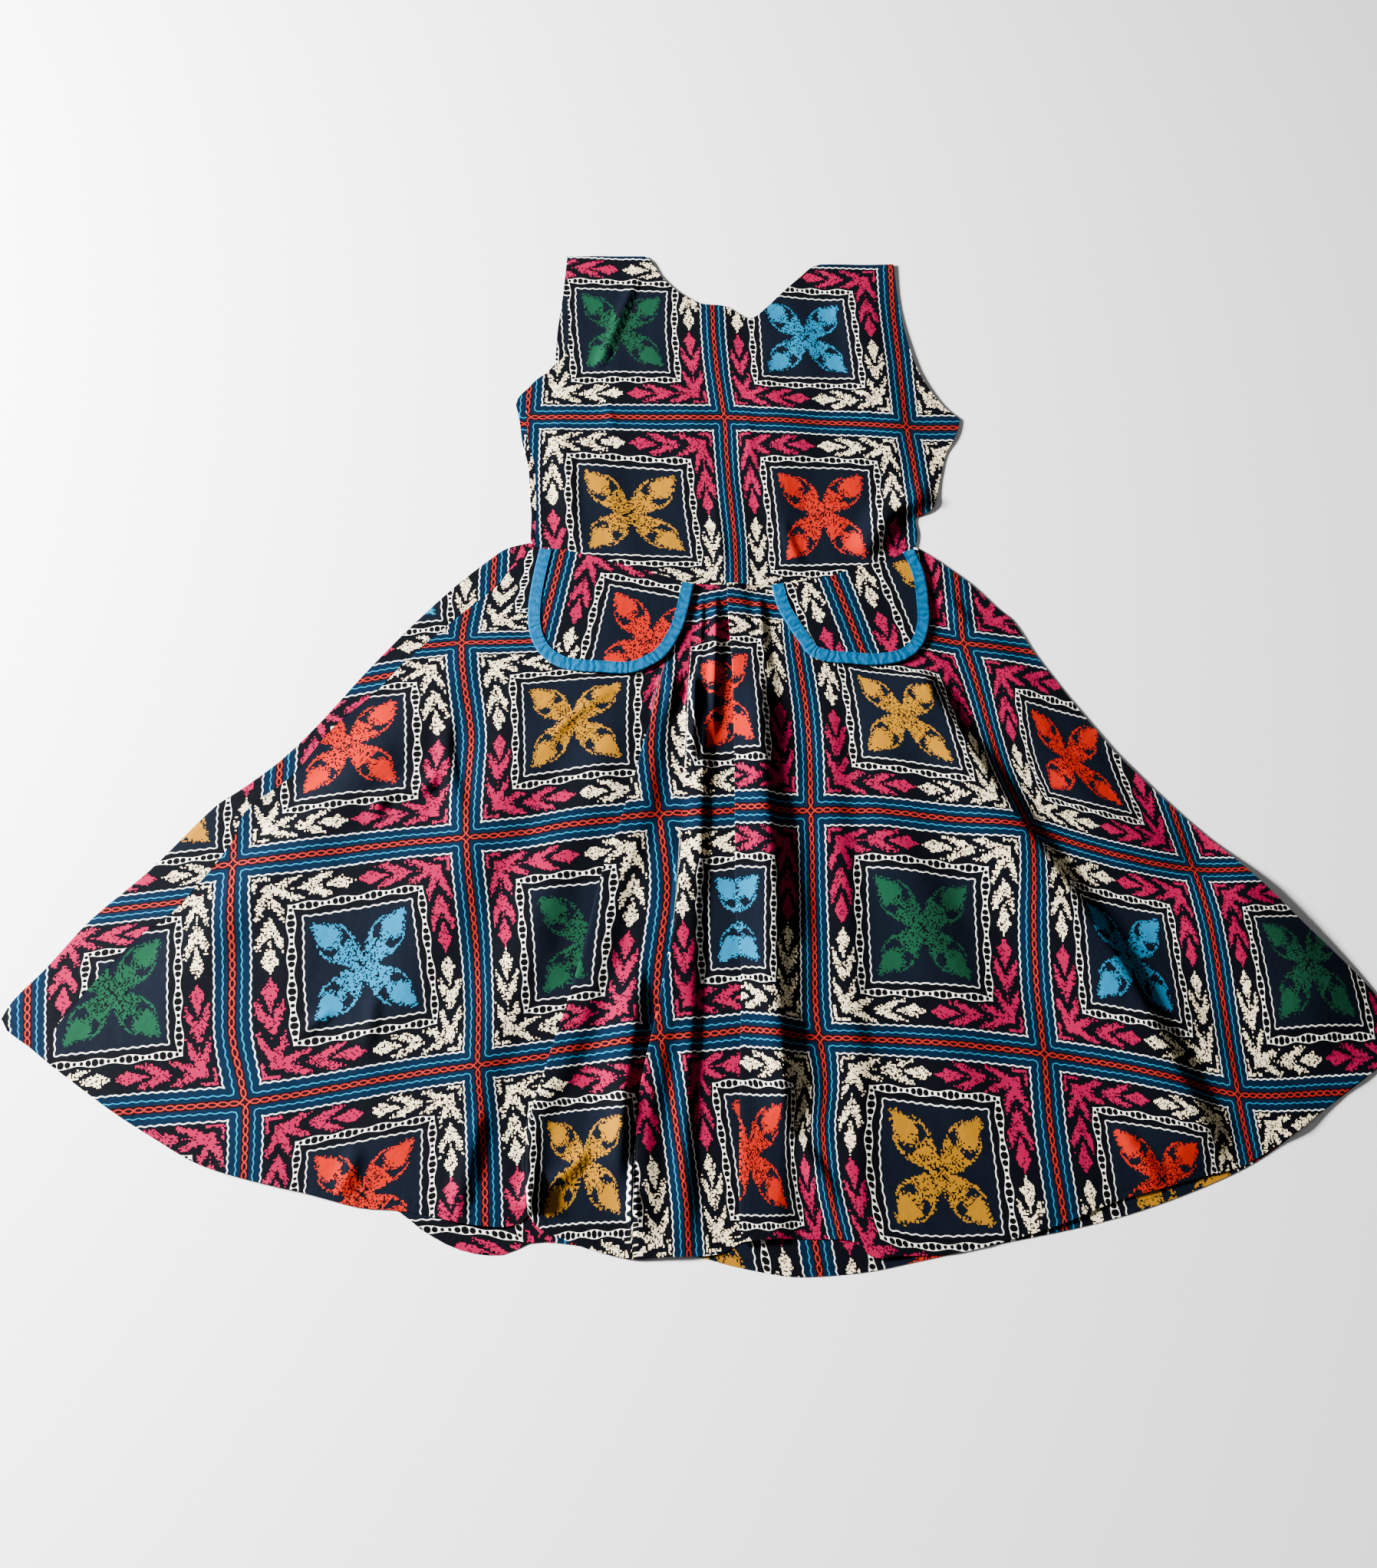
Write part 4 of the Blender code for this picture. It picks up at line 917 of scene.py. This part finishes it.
def wax_print():
    """Cotton with a windowpane print: chained lines, leaf garlands, bead bands and flowers."""
    material, shader, u, v = new_cloth("wax_print_cloth", sheen=0.01)
    run, away = attribute_pair("stitch_place")
    seam = least(abs(away - HEM_STITCH) < 0.35, (run / STITCH_LENGTH).fract() < 0.66)
    wobble = 0.0045
    u_drawn = u + (noise_at(u, v, 9.0) - 0.5) * wobble
    v_drawn = v + (noise_at(u + 7.3, v, 9.0) - 0.5) * wobble

    def window(x, y):
        """Place within a tile: across and down from its middle, edge distance, side distance."""
        across, down = x.fract() - 0.5, y.fract() - 0.5
        far, near = most(abs(across), abs(down)), least(abs(across), abs(down))
        return across, down, 0.5 - far, near

    # Lines and beads, drawn smoothly
    _, _, edge, side = window(u_drawn, v_drawn)
    turn = 2 * math.pi

    def cord(centre, half, period, start):
        """A wavy line that runs round the tile."""
        sway = (side * (turn / period) + start).sine()
        return 1.0 - ramp(abs(edge - centre - sway * 0.0023), half - 0.0009, half + 0.0009)

    link = ((side / 0.04).fract() - 0.5) * 0.04
    chain = ((link / 0.0207).squared() + (edge / 0.0115).squared()) < 1.0
    eye = ((link / 0.0143).squared() + (edge / 0.0063).squared()) < 1.0
    period = 0.1435
    bead = ((side / (period / 5)).floor() + 0.5) * (period / 5)
    bead_size = 0.0121 - 0.0044 * (bead * (turn / period)).cosine()
    beads = (((side - bead) * 1.06).squared() + (edge - 0.2135).squared()) < bead_size.squared()
    band_half = 0.0136 - 0.0047 * (side * (turn / period)).cosine()
    band = 1.0 - ramp(abs(edge - 0.2135) - band_half, -0.0008, 0.0008)
    band_dark = abs(edge - 0.2245) < 0.0305

    # Leaves and flowers, drawn in small steps as if scratched in wax
    step = 0.0062
    column, row = (u_drawn / step).floor(), (v_drawn / step).floor()
    luck, other_luck = chance_at(column, row), chance_at(column, row, 400.0)
    u_step, v_step = (column + 0.5) * step, (row + 0.5) * step
    across, down, edge_step, side_step = window(u_step, v_step)
    tatter = noise_at(u_step, v_step, 55.0, 1.0) - 0.5
    rough = (luck - 0.5) * 0.26 + tatter * 0.5
    off = abs(edge_step - 0.135) / 0.05 + rough
    before = 0.357 - side_step
    outer = 0.3 + 0.68 * ramp(before, 0.0, 0.08)
    inner = ramp(before, 0.046, 0.136).power(0.85)
    first = least(before > 0.0, before < 0.142, off < outer, off > inner)
    corner = least(side_step > 0.352, abs(edge_step - 0.0865) + rough * 0.02 < 0.006)
    spine = least(edge_step + side_step > 0.452, abs(edge_step - 0.136) < 0.021 - rough * 0.02)
    before = 0.25 - side_step
    outer = ramp(before, 0.0, 0.105).power(0.8) * 0.97
    inner = ramp(before, 0.074, 0.166).power(0.85)
    second = least(before > 0.0, before < 0.17, off < outer, off > inner)
    swell, taper = ramp(side_step, 0.0, 0.055).power(1.5), ramp(side_step, 0.056, 0.148)
    point = least(swell, 1.0 - taper) * 0.62
    third = abs(edge_step - 0.135) / 0.05 + rough * 0.4 < point
    leaf = most(first, corner, second, third, spine)
    other = ((((u_step + 0.5).floor() + (v_step + 0.5).floor()) / 2).fract()) > 0.25
    spaced = ((column + row) / 2).fract() > 0.25
    speck = least(most(spaced, other), other_luck < 0.2 + other * 0.08)

    along = abs(across + down) * 0.7071
    beside = abs(across - down) * 0.7071
    reach, drawn_spread = most(along, beside), least(along, beside)
    spread = drawn_spread + (luck - 0.5) * 0.013 + tatter * 0.016
    body = least(reach < 0.124, spread < 0.024 + 0.37 * reach)
    leaf_width = least(ramp(reach, 0.12, 0.178), 1.0 - ramp(reach, 0.205, 0.294).power(1.2))
    lobe = least(reach > 0.125, reach < 0.292, spread + (luck - 0.5) * 0.012 < 0.049 * leaf_width)
    neck = least(reach > 0.11, reach < 0.152, spread < 0.013)
    arm_edge = 0.074 - 4.0 * (reach - 0.155).squared()
    arm_width = 0.018 - 0.0145 * ramp(reach, 0.1, 0.212)
    arm_spread = drawn_spread + (luck - 0.5) * 0.006
    arm = least(reach > 0.1, reach < 0.214, arm_spread < arm_edge,
                arm_spread > arm_edge - arm_width)
    flower = most(body, lobe, arm, neck)
    flower_speck = least(other_luck < 0.27, reach < 0.17)
    cross = least(reach < 0.034, abs(abs(across) - abs(down)) < 0.004)

    odd_column = (u_step.floor() / 2).fract() > 0.25
    odd_row = (v_step.floor() / 2).fract() > 0.25
    upper = colour_mix("green", "cyan", odd_column)
    lower = colour_mix("mustard", "orange", odd_column)
    petals = colour_mix(upper, lower, odd_row)
    leaves = colour_mix("crimson", "cream", other)

    colour = colour_mix("deep_navy", "navy", (edge > 0.25) * (0.55 + 0.45 * noise_at(u, v, 3.0)))
    for over, share in (
            ("teal", edge < 0.074), ("black", band_dark * 0.3), (leaves, leaf),
            ("wine", least(leaf, speck)), (petals, flower),
            ("deep_navy", least(flower, most(flower_speck, cross))), ("white", band),
            ("black", beads), ("white", cord(0.2585, 0.0022, 0.041, 0.6)),
            ("white", cord(0.068, 0.0022, 0.037, 0.0)),
            ("sky", cord(0.035, 0.0023, 0.039, 2.0)), ("wine", edge < 0.0165),
            ("chain", chain - eye), ("black", seam * 0.85)):
        colour = colour_mix(colour, over, share)
    join(colour, shader.inputs["Base Color"])

    thread = turn * TILE / 0.75
    weave = (u * thread).sine() * (v * thread).sine() * 0.5 + 0.5
    crumple = noise_at(u, v, 26.0, 3.0)
    pucker = ((1.0 - ramp(abs(away - HEM_STITCH), 0.0, 5.0))
              * (run * (turn / (2 * STITCH_LENGTH))).sine())
    join((crumple * 0.16 + 0.76).socket, shader.inputs["Roughness"])
    relief = weave * 0.1 + crumple * 0.75 + pucker * 0.15 - seam * 0.2
    add_bump(shader, relief, distance=0.0012, strength=0.4)
    return material


def bound_cotton():
    """Plain cotton bias tape. Its coordinates run along and across the tape, in millimetres."""
    material, shader, along, across = new_cloth("binding_cloth", sheen=0.02)
    pucker = (along * 0.62 + (noise_at(along, across, 0.05) - 0.5) * 14.0).sine() * 0.5 + 0.5
    tone = noise_at(along, across, 0.09)
    # Darker in step with the pucker waves: painted shade in the puckers. The noise part is tone
    # that varies at random
    colour = colour_mix("tape", "tape_tone_and_shade", pucker * 0.4 + tone * 0.4)
    stitch = least(abs(across - TAPE_STITCH) < 0.45, (along / STITCH_LENGTH).fract() < 0.68)
    colour = colour_mix(colour, "tape_tone_and_shade", stitch)
    join(colour, shader.inputs["Base Color"])
    add_bump(shader, pucker * 0.7 + tone * 0.3, distance=0.0012, strength=0.5)
    return material


def plain_floor():
    """The pale surface that the dress lies on."""
    material = bpy.data.materials.new("pale_floor")
    material.use_nodes = True
    shader = material.node_tree.nodes["Principled BSDF"]
    shader.inputs["Base Color"].default_value = (0.9, 0.9, 0.9, 1.0)
    shader.inputs["Roughness"].default_value = 0.9
    return material


def binding_tape(edge_table):
    """Bias tape folded round a flap's free edge."""
    shares = np.linspace(BINDING_START, 1 - BINDING_START, BINDING_STEPS + 1)
    edge = at_share(rounded(edge_table), shares)
    inward = inward_of(edge)
    over = [(BINDING_WIDTH * s, BINDING_OUT) for s in np.linspace(1, 0.08, 8)]
    turn = [(-0.9 * math.sin(a), BINDING_OUT * math.cos(a))
            for a in np.linspace(0.2, math.pi - 0.2, 7)]
    under = [(BINDING_WIDTH * s, -BINDING_OUT) for s in np.linspace(0.08, 1, 5)]
    rings, profile = [], over + turn + under
    for away, rise in profile:
        xy = edge + inward * away
        rings.append(np.column_stack([xy, flap_height(xy) + rise]))
    points = np.stack(rings, axis=0)
    rows, columns = points.shape[:2]
    places = np.stack(np.meshgrid(lengths(edge), [away for away, _ in profile]), -1)
    return points.reshape(-1, 3), grid_quads(rows, columns)[:, ::-1], places.reshape(-1, 2)


def add_light(name, place, aim, energy, size):
    """A soft studio light that looks at a point of the dress."""
    light = bpy.data.lights.new(name, "AREA")
    light.energy = energy
    light.size = size
    lamp = bpy.data.objects.new(name, light)
    lamp.location = place
    lamp.rotation_euler = (Vector(aim) - Vector(place)).to_track_quat("-Z", "Y").to_euler()
    bpy.context.scene.collection.objects.link(lamp)


print_cloth = wax_print()
binding_cloth = bound_cotton()

for name, surface in {
    "skirt_front": skirt_front_surface(), "skirt_back": skirt_back_surface(),
    "bodice_front": bodice_front_surface(), "bodice_back": bodice_back_surface(),
    "flap_left": flap_surface(FLAP_LEFT_EDGE, "flap_left"),
    "flap_right": flap_surface(FLAP_RIGHT_EDGE, "flap_right"),
}.items():
    piece = add_piece(name + "_cloth", surface, HEMMED.get(name, []), print_cloth)
    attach(piece, "root")
    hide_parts(name)
for name, table in (("flap_binding_left", FLAP_LEFT_EDGE), ("flap_binding_right", FLAP_RIGHT_EDGE)):
    piece = add_piece(name + "_tape", binding_tape(table), [], binding_cloth)
    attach(piece, "root")
    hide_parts(name)

# Camera at the photo's angle
camera_data = bpy.data.cameras.new("camera")
camera_data.lens = 32.85
camera_data.sensor_width = 36.0
camera = bpy.data.objects.new("camera", camera_data)
bpy.context.scene.collection.objects.link(camera)
camera.location = (-0.01773, -0.58725, 1.52387)
camera.rotation_euler = (math.radians(18.0), 0.0, 0.0)
bpy.context.scene.camera = camera

floor_mesh = bpy.data.meshes.new("floor")
floor_mesh.from_pydata([(-4, -4, 0), (4, -4, 0), (4, 4, 0), (-4, 4, 0)], [], [(0, 1, 2, 3)])
floor = bpy.data.objects.new("floor", floor_mesh)
floor_mesh.materials.append(plain_floor())
bpy.context.scene.collection.objects.link(floor)

add_light("key", place=(-2.7, 0.5, 1.02), aim=(-0.1, -0.1, 0.0), energy=960.0, size=0.55)
add_light("fill", place=(-0.6, 0.6, 2.4), aim=(-0.1, -0.1, 0.0), energy=5.0, size=1.6)
world = bpy.data.worlds.new("studio")
world.use_nodes = True
world.node_tree.nodes["Background"].inputs["Color"].default_value = (1, 1, 1, 1)
world.node_tree.nodes["Background"].inputs["Strength"].default_value = 0.09
bpy.context.scene.world = world
